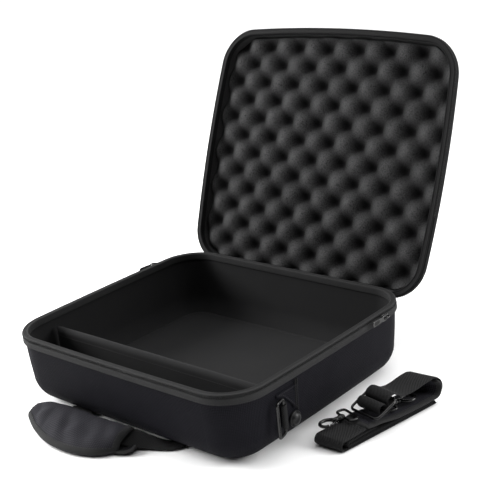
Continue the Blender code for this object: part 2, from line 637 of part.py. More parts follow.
# two swivel snap hooks
for tag, (hu, hv, hzz, turn) in {"near": (0.0375, -0.0170, 0.0206, 172.0),
                                 "far": (0.1120, 0.0010, 0.0172, -14.0)}.items():
    ca, sa = math.cos(math.radians(turn)), math.sin(math.radians(turn))

    def hk(a, b, c=0.0):
        """Hook frame: a from the swivel towards the hook's tip, b across, c up."""
        return sp(hu + a * ca + b * sa, hv - a * sa + b * ca, hzz + c)

    eye = [hk(-a, b) for a, b in rounded(0.0110, 0.0, 0.0120, 0.0300, 0.0040, 3)]
    ob = tube(eye, 0.0016, 8, closed=True, name="swivel_eye_" + tag, mat=METAL)
    barrel = tube([hk(-0.0062, 0), hk(-0.0040, 0), hk(0.0, 0), hk(0.0030, 0)], 0.0040, 10,
                  name="barrel_" + tag, mat=METAL, radii=[0.0030, 0.0040, 0.0040, 0.0034])
    union(ob, barrel)
    piv = bpy.data.objects.new("swivel_pivot_" + tag, None)
    bpy.context.scene.collection.objects.link(piv)
    piv.location = hk(0, 0)
    piv.rotation_euler = (0, 0, math.pi / 2 - SA + math.radians(turn))
    # local x runs from the swivel to the tip
    pts = [(0.0036, 0.0), (0.0060, 0.0), (0.0085, 0.0012), (0.0110, 0.0040), (0.0150, 0.0064),
           (0.0200, 0.0068), (0.0245, 0.0052), (0.0275, 0.0012), (0.0272, -0.0032),
           (0.0245, -0.0062), (0.0205, -0.0068)]
    rad = [0.0033, 0.0033, 0.0028, 0.0022, 0.0021, 0.0021, 0.0021, 0.0021, 0.0020, 0.0019, 0.0017]
    tube([Vector((x, -y, 0)) for x, y in pts], 0.0022, 8, name="snap_hook_" + tag,
         mat=METAL, radii=rad, parent=piv)
    gp = bpy.data.objects.new("gate_pivot_" + tag, None)
    bpy.context.scene.collection.objects.link(gp)
    gp.parent = piv
    gp.location = (0.0100, 0.0030, 0.0)
    tube([Vector((x, y, 0)) for x, y in
          ((-0.0006, 0.0010), (0.0020, 0.0026), (0.0050, 0.0036), (0.0082, 0.0038))],
         0.0013, 8, name="hook_gate_" + tag, mat=METAL, parent=gp)
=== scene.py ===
"""Finished look of the moulded carry case: woven shell, open zipper, egg-crate
foam lid, padded handle and the shoulder strap folded beside it.  Metres, in the
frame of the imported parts: origin under the base, +X to the strap's side, -Y to
the handle side, +Y to the hinge side, +Z up."""
import json
import math

import bpy
from mathutils import Matrix, Vector, noise

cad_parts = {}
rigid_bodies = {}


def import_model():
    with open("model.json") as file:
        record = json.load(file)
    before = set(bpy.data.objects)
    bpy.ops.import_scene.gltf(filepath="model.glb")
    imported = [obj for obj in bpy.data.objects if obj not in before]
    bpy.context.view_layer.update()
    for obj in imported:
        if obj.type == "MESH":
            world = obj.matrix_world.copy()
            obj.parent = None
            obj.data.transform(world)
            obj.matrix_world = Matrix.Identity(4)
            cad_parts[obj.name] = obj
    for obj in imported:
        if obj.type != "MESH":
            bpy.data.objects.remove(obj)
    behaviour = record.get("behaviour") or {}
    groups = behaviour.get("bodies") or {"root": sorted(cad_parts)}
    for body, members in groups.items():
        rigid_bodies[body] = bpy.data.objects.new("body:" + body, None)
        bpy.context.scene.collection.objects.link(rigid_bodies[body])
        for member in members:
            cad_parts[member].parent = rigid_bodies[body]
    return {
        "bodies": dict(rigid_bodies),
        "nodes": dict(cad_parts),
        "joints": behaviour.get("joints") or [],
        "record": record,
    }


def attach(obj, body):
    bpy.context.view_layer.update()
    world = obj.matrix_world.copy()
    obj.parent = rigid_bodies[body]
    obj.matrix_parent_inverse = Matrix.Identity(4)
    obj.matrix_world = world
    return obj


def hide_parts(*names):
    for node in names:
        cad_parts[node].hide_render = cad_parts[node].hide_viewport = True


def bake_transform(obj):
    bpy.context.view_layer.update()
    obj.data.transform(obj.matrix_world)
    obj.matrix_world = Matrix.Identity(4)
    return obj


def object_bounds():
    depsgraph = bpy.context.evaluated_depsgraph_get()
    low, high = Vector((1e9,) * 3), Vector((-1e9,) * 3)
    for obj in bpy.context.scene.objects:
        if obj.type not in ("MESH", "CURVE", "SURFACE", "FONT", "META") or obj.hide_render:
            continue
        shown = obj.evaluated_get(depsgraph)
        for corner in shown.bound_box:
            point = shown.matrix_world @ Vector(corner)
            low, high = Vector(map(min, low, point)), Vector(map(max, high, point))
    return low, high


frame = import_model()
cad_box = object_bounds()

# ------------------------------------------------------------------ sizes
BASE_W, BASE_D, BASE_R, BASE_BOW = 0.4000, 0.3520, 0.0530, 0.0025
RIM_Z, BAND_H, BAND_T = 0.0984, 0.0130, 0.0014
SHELL_T, GAP = 0.0045, 0.0003
BOTTOM_R, WALL_INSET = 0.0373, 0.0052
LID_W, LID_D, LID_R = 0.3990, 0.3470, 0.0470
LID_BOW_X, LID_BOW_F = 0.0080, 0.0090
LID_H, LID_TOP_R = 0.0318, 0.0200
HINGE_Y, HINGE_Z = 0.17306, 0.08906
LID_OPEN = math.radians(112.36)
LID_CLOSED_Z, BACK_Y = 0.0994, 0.1760
FOAM_NEAR, FOAM_PIT = 0.0080, 0.0205
FOAM_PX, FOAM_PY, FOAM_X0, FOAM_Y0 = 0.0530, 0.0533, 0.0110, 0.0312
FOAM_EDGE, FOAM_BACK = 0.0105, 0.0262

# ------------------------------------------------------------------ camera
az, el, roll = (math.radians(a) for a in (42.6968, 20.1043, -5.977))
fw = Vector((-math.sin(az) * math.cos(el), math.cos(az) * math.cos(el), -math.sin(el)))
right = Vector((math.cos(az), math.sin(az), 0.0))
up = right.cross(fw)
r2 = right * math.cos(roll) + up * math.sin(roll)
u2 = up * math.cos(roll) - right * math.sin(roll)
cam = bpy.data.objects.new("camera", bpy.data.cameras.new("camera"))
bpy.context.scene.collection.objects.link(cam)
cam.data.sensor_width = 36.0
cam.data.lens = 83.37
cam.data.shift_x, cam.data.shift_y = -0.0216, 0.0407
cam.data.clip_start, cam.data.clip_end = 0.05, 50.0
cam.matrix_world = Matrix(((r2.x, u2.x, -fw.x, 0.96924), (r2.y, u2.y, -fw.y, -0.95412),
                           (r2.z, u2.z, -fw.z, 0.65876), (0, 0, 0, 1)))
bpy.context.scene.camera = cam


# ------------------------------------------------------------------ materials
class Graph:
    """A material being wired: sockets in, sockets out."""

    def __init__(self, name, rough=0.7, metal=0.0, sheen=0.0, coat=0.0, spec=0.5):
        self.m = bpy.data.materials.new(name)
        self.m.use_nodes = True
        self.t = self.m.node_tree
        self.b = self.t.nodes["Principled BSDF"]
        self.b.inputs["Roughness"].default_value = rough
        self.b.inputs["Metallic"].default_value = metal
        self.b.inputs["Sheen Weight"].default_value = sheen
        self.b.inputs["Sheen Roughness"].default_value = 0.5
        self.b.inputs["Coat Weight"].default_value = coat
        self.b.inputs["Coat Roughness"].default_value = 0.12
        self.b.inputs["Specular IOR Level"].default_value = spec

    def node(self, kind, **kw):
        n = self.t.nodes.new(kind)
        for k, v in kw.items():
            setattr(n, k, v)
        return n

    def put(self, socket, value):
        if isinstance(value, (int, float)):
            socket.default_value = value
        elif isinstance(value, tuple):
            socket.default_value = value
        else:
            self.t.links.new(value, socket)

    def f(self, op, a, b=0.0, c=0.0, clamp=False):
        n = self.node("ShaderNodeMath", operation=op, use_clamp=clamp)
        self.put(n.inputs[0], a)
        self.put(n.inputs[1], b)
        self.put(n.inputs[2], c)
        return n.outputs[0]

    def mix(self, t, a, b):
        """Plain number mix."""
        return self.f("ADD", self.f("MULTIPLY", b, t), self.f("MULTIPLY", a, self.f("SUBTRACT", 1.0, t)))

    def uv(self):
        n = self.node("ShaderNodeTexCoord")
        s = self.node("ShaderNodeSeparateXYZ")
        self.t.links.new(n.outputs["UV"], s.inputs[0])
        return s.outputs[0], s.outputs[1], n.outputs["UV"]

    def place(self):
        return self.node("ShaderNodeTexCoord").outputs["Object"]

    def noise(self, vec, scale, detail=3.0, rough=0.55):
        n = self.node("ShaderNodeTexNoise")
        n.inputs["Scale"].default_value = scale
        n.inputs["Detail"].default_value = detail
        n.inputs["Roughness"].default_value = rough
        self.t.links.new(vec, n.inputs["Vector"])
        return n.outputs["Fac"]

    def voronoi(self, vec, scale, feature="F1"):
        n = self.node("ShaderNodeTexVoronoi", feature=feature)
        n.inputs["Scale"].default_value = scale
        self.t.links.new(vec, n.inputs["Vector"])
        return n.outputs["Distance"]

    def colour(self, value, dark, light):
        """Colour from a 0-1 value."""
        n = self.node("ShaderNodeMix", data_type="RGBA")
        self.put(n.inputs[0], value)
        n.inputs[6].default_value = (*dark, 1.0)
        n.inputs[7].default_value = (*light, 1.0)
        self.t.links.new(n.outputs[2], self.b.inputs["Base Color"])

    def rough(self, value):
        self.t.links.new(value, self.b.inputs["Roughness"])

    def bump(self, height, distance, strength=1.0):
        n = self.node("ShaderNodeBump")
        n.inputs["Distance"].default_value = distance
        n.inputs["Strength"].default_value = strength
        self.t.links.new(height, n.inputs["Height"])
        self.t.links.new(n.outputs[0], self.b.inputs["Normal"])


def basket(g, u, v, pitch):
    """Plain weave of round yarns: height 0-1 with the warp and weft taking turns on top."""
    a, b = g.f("DIVIDE", u, pitch), g.f("DIVIDE", v, pitch)
    turn = g.f("MODULO", g.f("ADD", g.f("ADD", g.f("FLOOR", a), g.f("FLOOR", b)), 2000.0), 2.0)
    sa = g.f("ABSOLUTE", g.f("SINE", g.f("MULTIPLY", a, math.pi)))
    sb = g.f("ABSOLUTE", g.f("SINE", g.f("MULTIPLY", b, math.pi)))
    warp = g.f("MULTIPLY", g.f("POWER", sa, 0.6), g.f("MULTIPLY_ADD", sb, 0.45, 0.55))
    weft = g.f("MULTIPLY", g.f("POWER", sb, 0.6), g.f("MULTIPLY_ADD", sa, 0.45, 0.55))
    return g.mix(turn, warp, weft)


def twill(g, u, v, pitch, slant=1.0):
    d = g.f("ADD", g.f("DIVIDE", u, pitch), g.f("MULTIPLY", g.f("DIVIDE", v, pitch), slant))
    return g.f("POWER", g.f("ABSOLUTE", g.f("SINE", g.f("MULTIPLY", d, math.pi))), 0.7)


def fabric(name, dark, light, pitch, kind="basket", rough=0.68, relief=0.00022, sheen=0.03,
           mottle=0.35, fibre=900.0, spec=0.10, gain=1.0):
    g = Graph(name, rough=rough, sheen=sheen, spec=spec)
    u, v, uv = g.uv()
    w = basket(g, u, v, pitch) if kind == "basket" else twill(g, u, v, pitch)
    if kind == "rib":
        w = g.f("POWER", g.f("ABSOLUTE", g.f("SINE", g.f("MULTIPLY", g.f("DIVIDE", u, pitch), math.pi))), 0.6)
        w = g.f("MULTIPLY", w, g.f("MULTIPLY_ADD", twill(g, u, v, pitch * 0.5), 0.3, 0.7))
    p = g.place()
    cloud = g.noise(p, 26.0, 4.0)
    hair = g.noise(p, fibre, 2.0)
    tone = g.f("ADD", g.f("MULTIPLY", w, 0.78), g.f("MULTIPLY", cloud, mottle * 0.6))
    tone = g.f("ADD", tone, g.f("MULTIPLY", g.f("SUBTRACT", hair, 0.5), 0.25), clamp=True)
    if gain != 1.0:
        tone = g.f("ADD", g.f("MULTIPLY", g.f("SUBTRACT", tone, 0.45), gain), 0.42, clamp=True)
    g.colour(tone, dark, light)
    g.rough(g.f("ADD", g.f("MULTIPLY", hair, 0.16), g.f("SUBTRACT", rough + 0.02, g.f("MULTIPLY", w, 0.12))))
    g.bump(g.f("ADD", w, g.f("MULTIPLY", hair, 0.25)), relief)
    return g.m


SHELL = fabric("ballistic_shell", (0.0004, 0.0004, 0.0008), (0.0125, 0.0122, 0.0156), 0.0021, rough=0.60, relief=0.0004,
               gain=1.5, spec=0.03, sheen=0.0)
GRIPCLOTH = fabric("grip_cloth", (0.0015, 0.0014, 0.0020), (0.0335, 0.0328, 0.0392), 0.0026, rough=0.62, relief=0.0005, gain=1.6, spec=0.05, sheen=0.0)
BAND = fabric("binding_tape", (0.0050, 0.0050, 0.0052), (0.0270, 0.0270, 0.0274), 0.0011, "rib", rough=0.74, relief=0.00022, gain=1.3)
# painted shade: a darker copy of the binding tape, used on the lid's rim to stand for the shade there
SHADED_LID_BAND = fabric("lid_binding_tape_painted_shade", (0.0028, 0.0028, 0.0029), (0.0150, 0.0150, 0.0153), 0.0011, "rib", rough=0.74, relief=0.00022,
                 gain=1.3, spec=0.06, sheen=0.0)
TAPE = fabric("zipper_tape", (0.0030, 0.0030, 0.0031), (0.0110, 0.0110, 0.0112), 0.0009, "twill", rough=0.72, relief=0.00010)
# painted light: a lighter copy of the black lining, used on the lid's inner wall to stand for the light falling there
LIT_LID_LINING = fabric("lid_lining_painted_light", (0.0100, 0.0100, 0.0102), (0.0330, 0.0330, 0.0334), 0.0008, "twill", rough=0.85, relief=0.00006, mottle=0.5)
LINING = fabric("black_lining", (0.0030, 0.0030, 0.0032), (0.0120, 0.0120, 0.0124), 0.0008, "twill", rough=0.85, relief=0.00006, mottle=0.5)
WEBBING = fabric("twill_webbing", (0.0012, 0.0012, 0.0013), (0.0235, 0.0235, 0.0240), 0.0024, "twill", rough=0.66, relief=0.00050, gain=1.9, spec=0.06, sheen=0.0)


def foam_material():
    g = Graph("charcoal_foam", rough=0.95, sheen=0.02, spec=0.05)
    p = g.place()
    pores = g.voronoi(p, 620.0)
    fine = g.noise(p, 1500.0, 2.0)
    cloud = g.noise(p, 34.0, 4.0)
    grain = g.f("ADD", g.f("MULTIPLY", g.f("SUBTRACT", 1.0, pores), 0.55), g.f("MULTIPLY", fine, 0.45))
    # painted shade kept on the mesh: it grows with depth below the rim face, so light is painted dying away down in the
    # pits
    at = g.node("ShaderNodeAttribute", attribute_name="painted_pit_shade")
    lit = g.f("POWER", g.f("SUBTRACT", 1.0, at.outputs["Fac"], clamp=True), 1.6)
    tone = g.f("ADD", g.f("MULTIPLY", grain, 0.8), g.f("MULTIPLY", g.f("SUBTRACT", cloud, 0.5), 0.4), clamp=True)
    g.colour(g.f("MULTIPLY", tone, g.f("MULTIPLY_ADD", lit, 0.94, 0.06), clamp=True),
             (0.0012, 0.0012, 0.0013), (0.1050, 0.1050, 0.1061))
    g.bump(grain, 0.0009, 0.9)
    return g.m


def mesh_pad_material():
    g = Graph("air_mesh", rough=0.80, sheen=0.02, spec=0.10)
    u, v, uv = g.uv()
    holes = g.voronoi(uv, 420.0)
    hair = g.noise(g.place(), 1200.0, 2.0)
    rim = g.f("POWER", g.f("MULTIPLY", holes, 1.7, clamp=True), 0.8)
    g.colour(g.f("ADD", rim, g.f("MULTIPLY", g.f("SUBTRACT", hair, 0.5), 0.3), clamp=True),
             (0.0010, 0.0010, 0.0011), (0.0190, 0.0190, 0.0194))
    g.bump(rim, 0.0006)
    return g.m


def metal_material():
    g = Graph("black_enamel", rough=0.26, metal=0.05, coat=0.15, spec=0.30)
    p = g.place()
    wear = g.noise(p, 240.0, 6.0, 0.7)
    spots = g.f("GREATER_THAN", wear, 0.66)
    cloud = g.noise(p, 60.0, 3.0)
    g.colour(g.f("ADD", g.f("MULTIPLY", spots, 0.6), g.f("MULTIPLY", cloud, 0.25), clamp=True),
             (0.0016, 0.0016, 0.0018), (0.0180, 0.0178, 0.0172))
    g.rough(g.f("MULTIPLY_ADD", cloud, 0.16, 0.13))
    g.bump(g.noise(p, 900.0, 3.0), 0.00004, 0.5)
    return g.m


def plastic_material(name, dark, light, rough):
    g = Graph(name, rough=rough, spec=0.25)
    p = g.place()
    grain = g.voronoi(p, 2600.0)
    cloud = g.noise(p, 55.0, 4.0)
    g.colour(cloud, dark, light)
    g.rough(g.f("MULTIPLY_ADD", cloud, 0.18, rough - 0.08))
    g.bump(grain, 0.00006, 0.6)
    return g.m


def thread_material():
    g = Graph("sewing_thread", rough=0.6, sheen=0.03, spec=0.15)
    p = g.place()
    ply = g.noise(p, 2600.0, 2.0)
    g.colour(ply, (0.0080, 0.0080, 0.0083), (0.0340, 0.0340, 0.0346))
    g.bump(ply, 0.0001)
    return g.m


FOAM, AIRMESH, METAL, THREAD = foam_material(), mesh_pad_material(), metal_material(), thread_material()
COIL = plastic_material("nylon_coil", (0.0060, 0.0060, 0.0062), (0.0230, 0.0230, 0.0236), 0.42)
RIVET = plastic_material("black_plastic", (0.0030, 0.0030, 0.0032), (0.0110, 0.0110, 0.0115), 0.38)


# ------------------------------------------------------------------ mesh helpers
def mesh(name, verts, faces, mats, uvs=None, slots=None, smooth=45.0):
    """uvs holds one pair per face corner, in metres."""
    me = bpy.data.meshes.new(name)
    me.from_pydata([tuple(v) for v in verts], [], faces)
    if uvs is not None:
        layer = me.uv_layers.new(name="weave")
        flat = [c for pair in uvs for c in pair]
        layer.data.foreach_set("uv", flat)
    mats = mats if isinstance(mats, (list, tuple)) else [mats]
    for m in mats:
        me.materials.append(m)
    if slots is not None:
        me.polygons.foreach_set("material_index", slots)
    me.update()
    me.shade_smooth()
    if smooth:
        me.set_sharp_from_angle(angle=math.radians(smooth))
    ob = bpy.data.objects.new(name, me)
    bpy.context.scene.collection.objects.link(ob)
    return ob


def volume(verts, faces):
    vol = 0.0
    for f in faces:
        a = verts[f[0]]
        for i in range(1, len(f) - 1):
            vol += a.dot(verts[f[i]].cross(verts[f[i + 1]]))
    return vol


def loft(name, rings, mats, closed=False, caps=True, row_slots=None, open_ring=False, smooth=45.0,
         cap_slots=(0, 0), lift=0.0):
    """Skin a row of equal rings.  closed joins the last ring to the first;
    open_ring leaves each ring's ends apart."""
    n, m = len(rings[0]), len(rings)
    verts = [Vector(v) for r in rings for v in r]
    ref = max(rings, key=lambda r: sum((r[(j + 1) % n] - r[j]).length for j in range(n)))
    us = [0.0]
    for j in range(n):
        us.append(us[-1] + (ref[(j + 1) % n] - ref[j]).length)
    vs = [0.0]
    for i in range(m):
        a, b = rings[i], rings[(i + 1) % m]
        vs.append(vs[-1] + sum((a[j] - b[j]).length for j in range(0, n, max(1, n // 8)))
                  / len(range(0, n, max(1, n // 8))))
    faces, uvs, slots = [], [], []
    for i in range(m if closed else m - 1):
        for j in range(n - 1 if open_ring else n):
            k = (j + 1) % n
            faces.append((i * n + j, i * n + k, ((i + 1) % m) * n + k, ((i + 1) % m) * n + j))
            uvs.append([(us[j], vs[i]), (us[j + 1], vs[i]), (us[j + 1], vs[i + 1]), (us[j], vs[i + 1])])
            slots.append(row_slots[i] if row_slots else 0)
    if caps and not closed:
        for base, flip, s in ((0, True, cap_slots[0]), ((m - 1) * n, False, cap_slots[1])):
            ring = [verts[base + j] for j in range(n)]
            c = sum(ring, Vector()) / n
            c_id = len(verts)
            nrm = Vector()
            for j in range(n):
                nrm += (ring[j] - c).cross(ring[(j + 1) % n] - c)
            nrm = nrm.normalized() if nrm.length else Vector((0, 0, 1))
            ax = (ring[0] - c).normalized() if (ring[0] - c).length else Vector((1, 0, 0))
            ay = nrm.cross(ax)
            verts.append(c + nrm * (lift if not flip else -lift))
            for j in range(n):
                k = (j + 1) % n
                tri = (base + k, base + j, c_id) if flip else (base + j, base + k, c_id)
                faces.append(tri)
                uvs.append([((verts[q] - c).dot(ax), (verts[q] - c).dot(ay)) for q in tri])
                slots.append(s)
    if volume(verts, faces) < 0:
        faces = [tuple(reversed(f)) for f in faces]
        uvs = [list(reversed(q)) for q in uvs]
    return mesh(name, verts, faces, mats, [p for q in uvs for p in q], slots, smooth)


def outline(w, d, r, bow_x=0.0, bow_f=0.0, off=0.0, n=16, side=26):
    """Rounded rectangle from the front right corner, sides and front bellied out."""
    w2, d2, rr = w / 2 - off, d / 2 - off, max(r - off, 0.004)
    pts, arcs = [], []
    for sx, sy, a0 in ((1, -1, -90), (1, 1, 0), (-1, 1, 90), (-1, -1, 180)):
        arcs.append([(sx * (w2 - rr) + rr * math.cos(math.radians(a0 + 90 * i / n)),
                      sy * (d2 - rr) + rr * math.sin(math.radians(a0 + 90 * i / n)))
                     for i in range(n + 1)])
    for i, arc in enumerate(arcs):
        pts += arc
        a, b = arc[-1], arcs[(i + 1) % 4][0]
        pts += [(a[0] + (b[0] - a[0]) * k / side, a[1] + (b[1] - a[1]) * k / side)
                for k in range(1, side)]
    out = []
    for x, y in pts:
        out.append((x + bow_x * (x / w2) * (1 - (y / d2) ** 2),
                    y + (bow_f * (y / d2) * (1 - (x / w2) ** 2) if y < 0 else 0.0)))
    return out


ON, OS = 16, 26                     # outline steps in a corner and on a side
OCOUNT = 4 * (ON + OS)


def base_ring(off, z):
    return [Vector((x, y, z)) for x, y in
            outline(BASE_W, BASE_D, BASE_R, BASE_BOW, BASE_BOW, off, ON, OS)]


CO, SO = math.cos(LID_OPEN), math.sin(LID_OPEN)


def lid_place(x, y, z):
    """A point of the shut lid, carried round the hinge to where the lid stands."""
    dy, dz = y - HINGE_Y, z - HINGE_Z
    return Vector((x, HINGE_Y + dy * CO + dz * SO, HINGE_Z - dy * SO + dz * CO))


def lid_ring(off, t):
    return [lid_place(x, y + BACK_Y - LID_D / 2, LID_CLOSED_Z + t) for x, y in
            outline(LID_W, LID_D, LID_R, LID_BOW_X, LID_BOW_F, off, ON, OS)]


def wobble(p, size, scale, seed=0.0):
    """Small smooth unevenness, the same every time."""
    return size * noise.noise(Vector((p[0] * scale + seed, p[1] * scale - seed, p[2] * scale + 2 * seed)))


def smooth_profile(points, steps=4):
    """Rounded line through the points (quadratic between midpoints)."""
    out = [points[0]]
    for i in range(1, len(points) - 1):
        a = tuple((points[i - 1][k] + points[i][k]) / 2 for k in range(len(points[i])))
        b = points[i]
        c = tuple((points[i + 1][k] + points[i][k]) / 2 for k in range(len(points[i])))
        for s in range(steps + 1):
            t = s / steps
            out.append(tuple((1 - t) ** 2 * a[k] + 2 * t * (1 - t) * b[k] + t * t * c[k]
                             for k in range(len(b))))
    out.append(points[-1])
    clean = [out[0]]
    for p in out[1:]:
        if sum((p[k] - clean[-1][k]) ** 2 for k in range(len(p))) > 1e-12:
            clean.append(p)
    return clean


def catmull(points, per=6, closed=False):
    pts = [Vector(p) for p in points]
    n = len(pts)
    out = []
    for i in range(n if closed else n - 1):
        p0 = pts[(i - 1) % n] if closed or i > 0 else pts[0] * 2 - pts[1]
        p1, p2 = pts[i], pts[(i + 1) % n]
        p3 = pts[(i + 2) % n] if closed or i + 2 < n else pts[-1] * 2 - pts[-2]
        for s in range(per):
            t = s / per
            out.append(0.5 * ((2 * p1) + (p2 - p0) * t + (2 * p0 - 5 * p1 + 4 * p2 - p3) * t * t
                              + (3 * p1 - p0 - 3 * p2 + p3) * t ** 3))
    if not closed:
        out.append(pts[-1].copy())
    return out


def tube(name, path, radius, mat, sides=14, closed=False, radii=None, up=Vector((0, 0, 1)),
         flat=1.0, caps=True):
    rings, m = [], len(path)
    for i, p in enumerate(path):
        a = path[(i - 1) % m if closed else max(i - 1, 0)]
        b = path[(i + 1) % m if closed else min(i + 1, m - 1)]
        t = (b - a).normalized()
        s = up - t * up.dot(t)
        s = s.normalized() if s.length > 1e-6 else t.orthogonal().normalized()
        q = t.cross(s)
        r = radii[i] if radii else radius
        rings.append([p + (q * math.cos(2 * math.pi * k / sides)
                           + s * (flat * math.sin(2 * math.pi * k / sides))) * r
                      for k in range(sides)])
    return loft(name, rings, mat, closed=closed, caps=caps)


def stitches(name, path, normals, mat=THREAD, length=0.0026, gap=0.0012, r=0.00034, sink=0.0001):
    """Row of raised stitches that follows a line on a surface."""
    verts, faces = [], []
    dist, seg, total = [0.0], [], 0.0
    for i in range(1, len(path)):
        total += (path[i] - path[i - 1]).length
        dist.append(total)

    def at(d):
        d = min(max(d, 0.0), total)
        lo, hi = 0, len(dist) - 1
        while hi - lo > 1:
            mid = (lo + hi) // 2
            if dist[mid] <= d:
                lo = mid
            else:
                hi = mid
        t = (d - dist[lo]) / max(dist[hi] - dist[lo], 1e-9)
        return path[lo].lerp(path[hi], t), normals[lo].lerp(normals[hi], t).normalized()

    d = gap
    while d + length < total:
        row = []
        for f, rad, h in ((0.0, 0.35, -0.6), (0.18, 0.9, 0.1), (0.5, 1.0, 0.35), (0.82, 0.9, 0.1), (1.0, 0.35, -0.6)):
            p, nrm = at(d + length * f)
            q, _ = at(d + length * f + 0.0002)
            t = (q - p)
            t = t.normalized() if t.length > 1e-9 else Vector((1, 0, 0))
            side = t.cross(nrm).normalized()
            c = p + nrm * (r * h + sink)
            row.append([c + (side * math.cos(2 * math.pi * k / 6) + nrm * math.sin(2 * math.pi * k / 6)) * r * rad
                        for k in range(6)])
        base = len(verts)
        for ring in row:
            verts += ring
        for i in range(len(row) - 1):
            for k in range(6):
                faces.append((base + i * 6 + k, base + i * 6 + (k + 1) % 6,
                              base + (i + 1) * 6 + (k + 1) % 6, base + (i + 1) * 6 + k))
        faces.append(tuple(base + k for k in reversed(range(6))))
        faces.append(tuple(base + (len(row) - 1) * 6 + k for k in range(6)))
        d += length + gap
    if volume(verts, faces) < 0:
        faces = [tuple(reversed(f)) for f in faces]
    return mesh(name, verts, faces, mat, smooth=None)


def add(ob, body, slot, *nodes, padded=None):
    """Put a finished piece on its body and hide the solids it stands for."""
    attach(ob, body)
    if nodes:
        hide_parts(*nodes)
    return ob


# ------------------------------------------------------------------ base shell
def shell_rows():
    """(off, z, slot) of the tub from the middle of the bottom out, up and back in."""
    rows = [(0.120, 0.0, 0), (0.080, 0.0, 0)]
    for i in range(13):
        a = math.pi / 2 * i / 12
        rows.append((WALL_INSET + BOTTOM_R * (1 - math.sin(a)), BOTTOM_R * (1 - math.cos(a)), 0))
    z0, z1 = BOTTOM_R, RIM_Z - BAND_H - 0.0005
    for i in range(1, 9):
        f = i / 8
        rows.append((WALL_INSET + (0.0020 - WALL_INSET) * f - 0.0004 * math.sin(math.pi * f),
                     z0 + (z1 - z0) * f, 0))
    rows += [(0.0022, RIM_Z - BAND_H + 0.0006, 0), (BAND_T + GAP + 0.0004, RIM_Z - BAND_H + 0.0020, 0),
             (BAND_T + GAP, RIM_Z - BAND_T - GAP, 1), (BAND_T + GAP + SHELL_T, RIM_Z - BAND_T - GAP, 1),
             (BAND_T + GAP + SHELL_T, RIM_Z - 0.0110, 1)]
    inner_r = BOTTOM_R - SHELL_T
    for i in range(1, 6):
        f = i / 6
        rows.append((BAND_T + GAP + SHELL_T + (WALL_INSET - BAND_T - GAP) * f,
                     RIM_Z - 0.0110 + (BOTTOM_R - RIM_Z + 0.0110) * f, 1))
    for i in range(10, -1, -1):
        a = math.pi / 2 * i / 10
        rows.append((WALL_INSET + SHELL_T + inner_r * (1 - math.sin(a)),
                     SHELL_T + inner_r * (1 - math.cos(a)), 1))
    rows.append((0.110, SHELL_T, 1))
    return rows


rows = shell_rows()
rings = []
for off, z, s in rows:
    ring = base_ring(off, z)
    if 0.012 < z < 0.080 and s == 0:
        c = Vector((0, 0, z))
        ring = [p + (p - c).normalized() * wobble(p, 0.0005, 14.0) for p in ring]
    rings.append(ring)
tub = loft("case_shell", rings, [SHELL, LINING], row_slots=[s for _, _, s in rows], cap_slots=(0, 1))
add(tub, "case_base", "shell_fabric", "base_shell")


# ------------------------------------------------------------------ rim bands
def band_profile(up):
    """(off, z from the rim face, slot) round the folded binding; up is +1 on the base."""
    w = 2 * BAND_T + 2 * GAP + SHELL_T
    h = BAND_H if up > 0 else 0.0110
    inner = 0.0095 if up > 0 else 0.0085
    pts = [(BAND_T, -h, 0), (0.0006, -h, 0), (-0.0004, -h + 0.0004, 0), (-0.0007, -h + 0.0012, 0), (-0.0008, -h + 0.0030, 0),
           (-0.0006, -0.0064, 0), (-0.0005, -0.0050, 0), (-0.0002, -0.0044, 0), (0.0006, -0.0042, 1), (0.0012, -0.0038, 1),
           (0.0012, -0.0018, 1), (0.0007, -0.0014, 0), (0.0000, -0.0013, 0), (-0.0002, -0.0009, 0), (0.0002, -0.0003, 0),
           (0.0008, 0.0, 0), (0.0016, -0.0001, 0), (0.0020, -0.0005, 1), (w / 2, -0.0004, 1), (w - 0.0024, -0.0005, 1),
           (w - 0.0019, -0.0001, 0), (w - 0.0012, 0.0001, 0), (w - 0.0003, -0.0005, 0),
           (w, -0.0016, 0), (w + 0.0001, -inner + 0.0012, 0), (w - 0.0003, -inner, 0), (w - BAND_T, -inner, 0)]
    line = smooth_profile([(a, b) for a, b, _ in pts], 3)
    tagged = []
    for a, b in line:
        tagged.append((a, b, 1 if (0.0004 < a < 0.003 and -0.0045 < b < -0.0012) or (0.0018 < a < w - 0.0022 and b > -0.001) else 0))
    tagged += [(w - BAND_T, -BAND_T, 0), (BAND_T, -BAND_T, 0)]
    return tagged


def rim_band(name, ring, up, mat):
    prof = band_profile(up)
    loops = [ring(o, (RIM_Z + z) if up > 0 else -z) for o, z, _ in prof]
    n = len(loops)
    # rings run along the outline so the weave's u follows the length of the tape
    rings = [[loops[i][j] for i in range(n)] for j in range(OCOUNT)]
    verts = [v for r in rings for v in r]
    faces, uvs, slots = [], [], []
    run = [0.0]
    for j in range(OCOUNT):
        run.append(run[-1] + (rings[(j + 1) % OCOUNT][0] - rings[j][0]).length)
    girth = [0.0]
    for i in range(n):
        girth.append(girth[-1] + (rings[0][(i + 1) % n] - rings[0][i]).length)
    for j in range(OCOUNT):
        for i in range(n):
            k, q = (i + 1) % n, (j + 1) % OCOUNT
            faces.append((j * n + i, j * n + k, q * n + k, q * n + i))
            uvs += [(run[j], girth[i]), (run[j], girth[i + 1]), (run[j + 1], girth[i + 1]), (run[j + 1], girth[i])]
            slots.append(prof[i][2] or prof[k][2])
    if volume(verts, faces) < 0:
        faces = [tuple(reversed(f)) for f in faces]
        uvs = [p for f in range(0, len(uvs), 4) for p in reversed(uvs[f:f + 4])]
    return mesh(name, verts, faces, [mat, TAPE], uvs, slots)


add(rim_band("base_binding", base_ring, 1, BAND), "case_base", "band_fabric", "base_rim_band")
add(rim_band("lid_binding", lid_ring, -1, SHADED_LID_BAND), "lid", "band_fabric", "lid_rim_band")


# ------------------------------------------------------------------ zipper coils
def outline_span(ring_a, start, stop):
    n = len(ring_a)
    return [ring_a[(start + k) % n] for k in range((stop - start) % n + 1)]


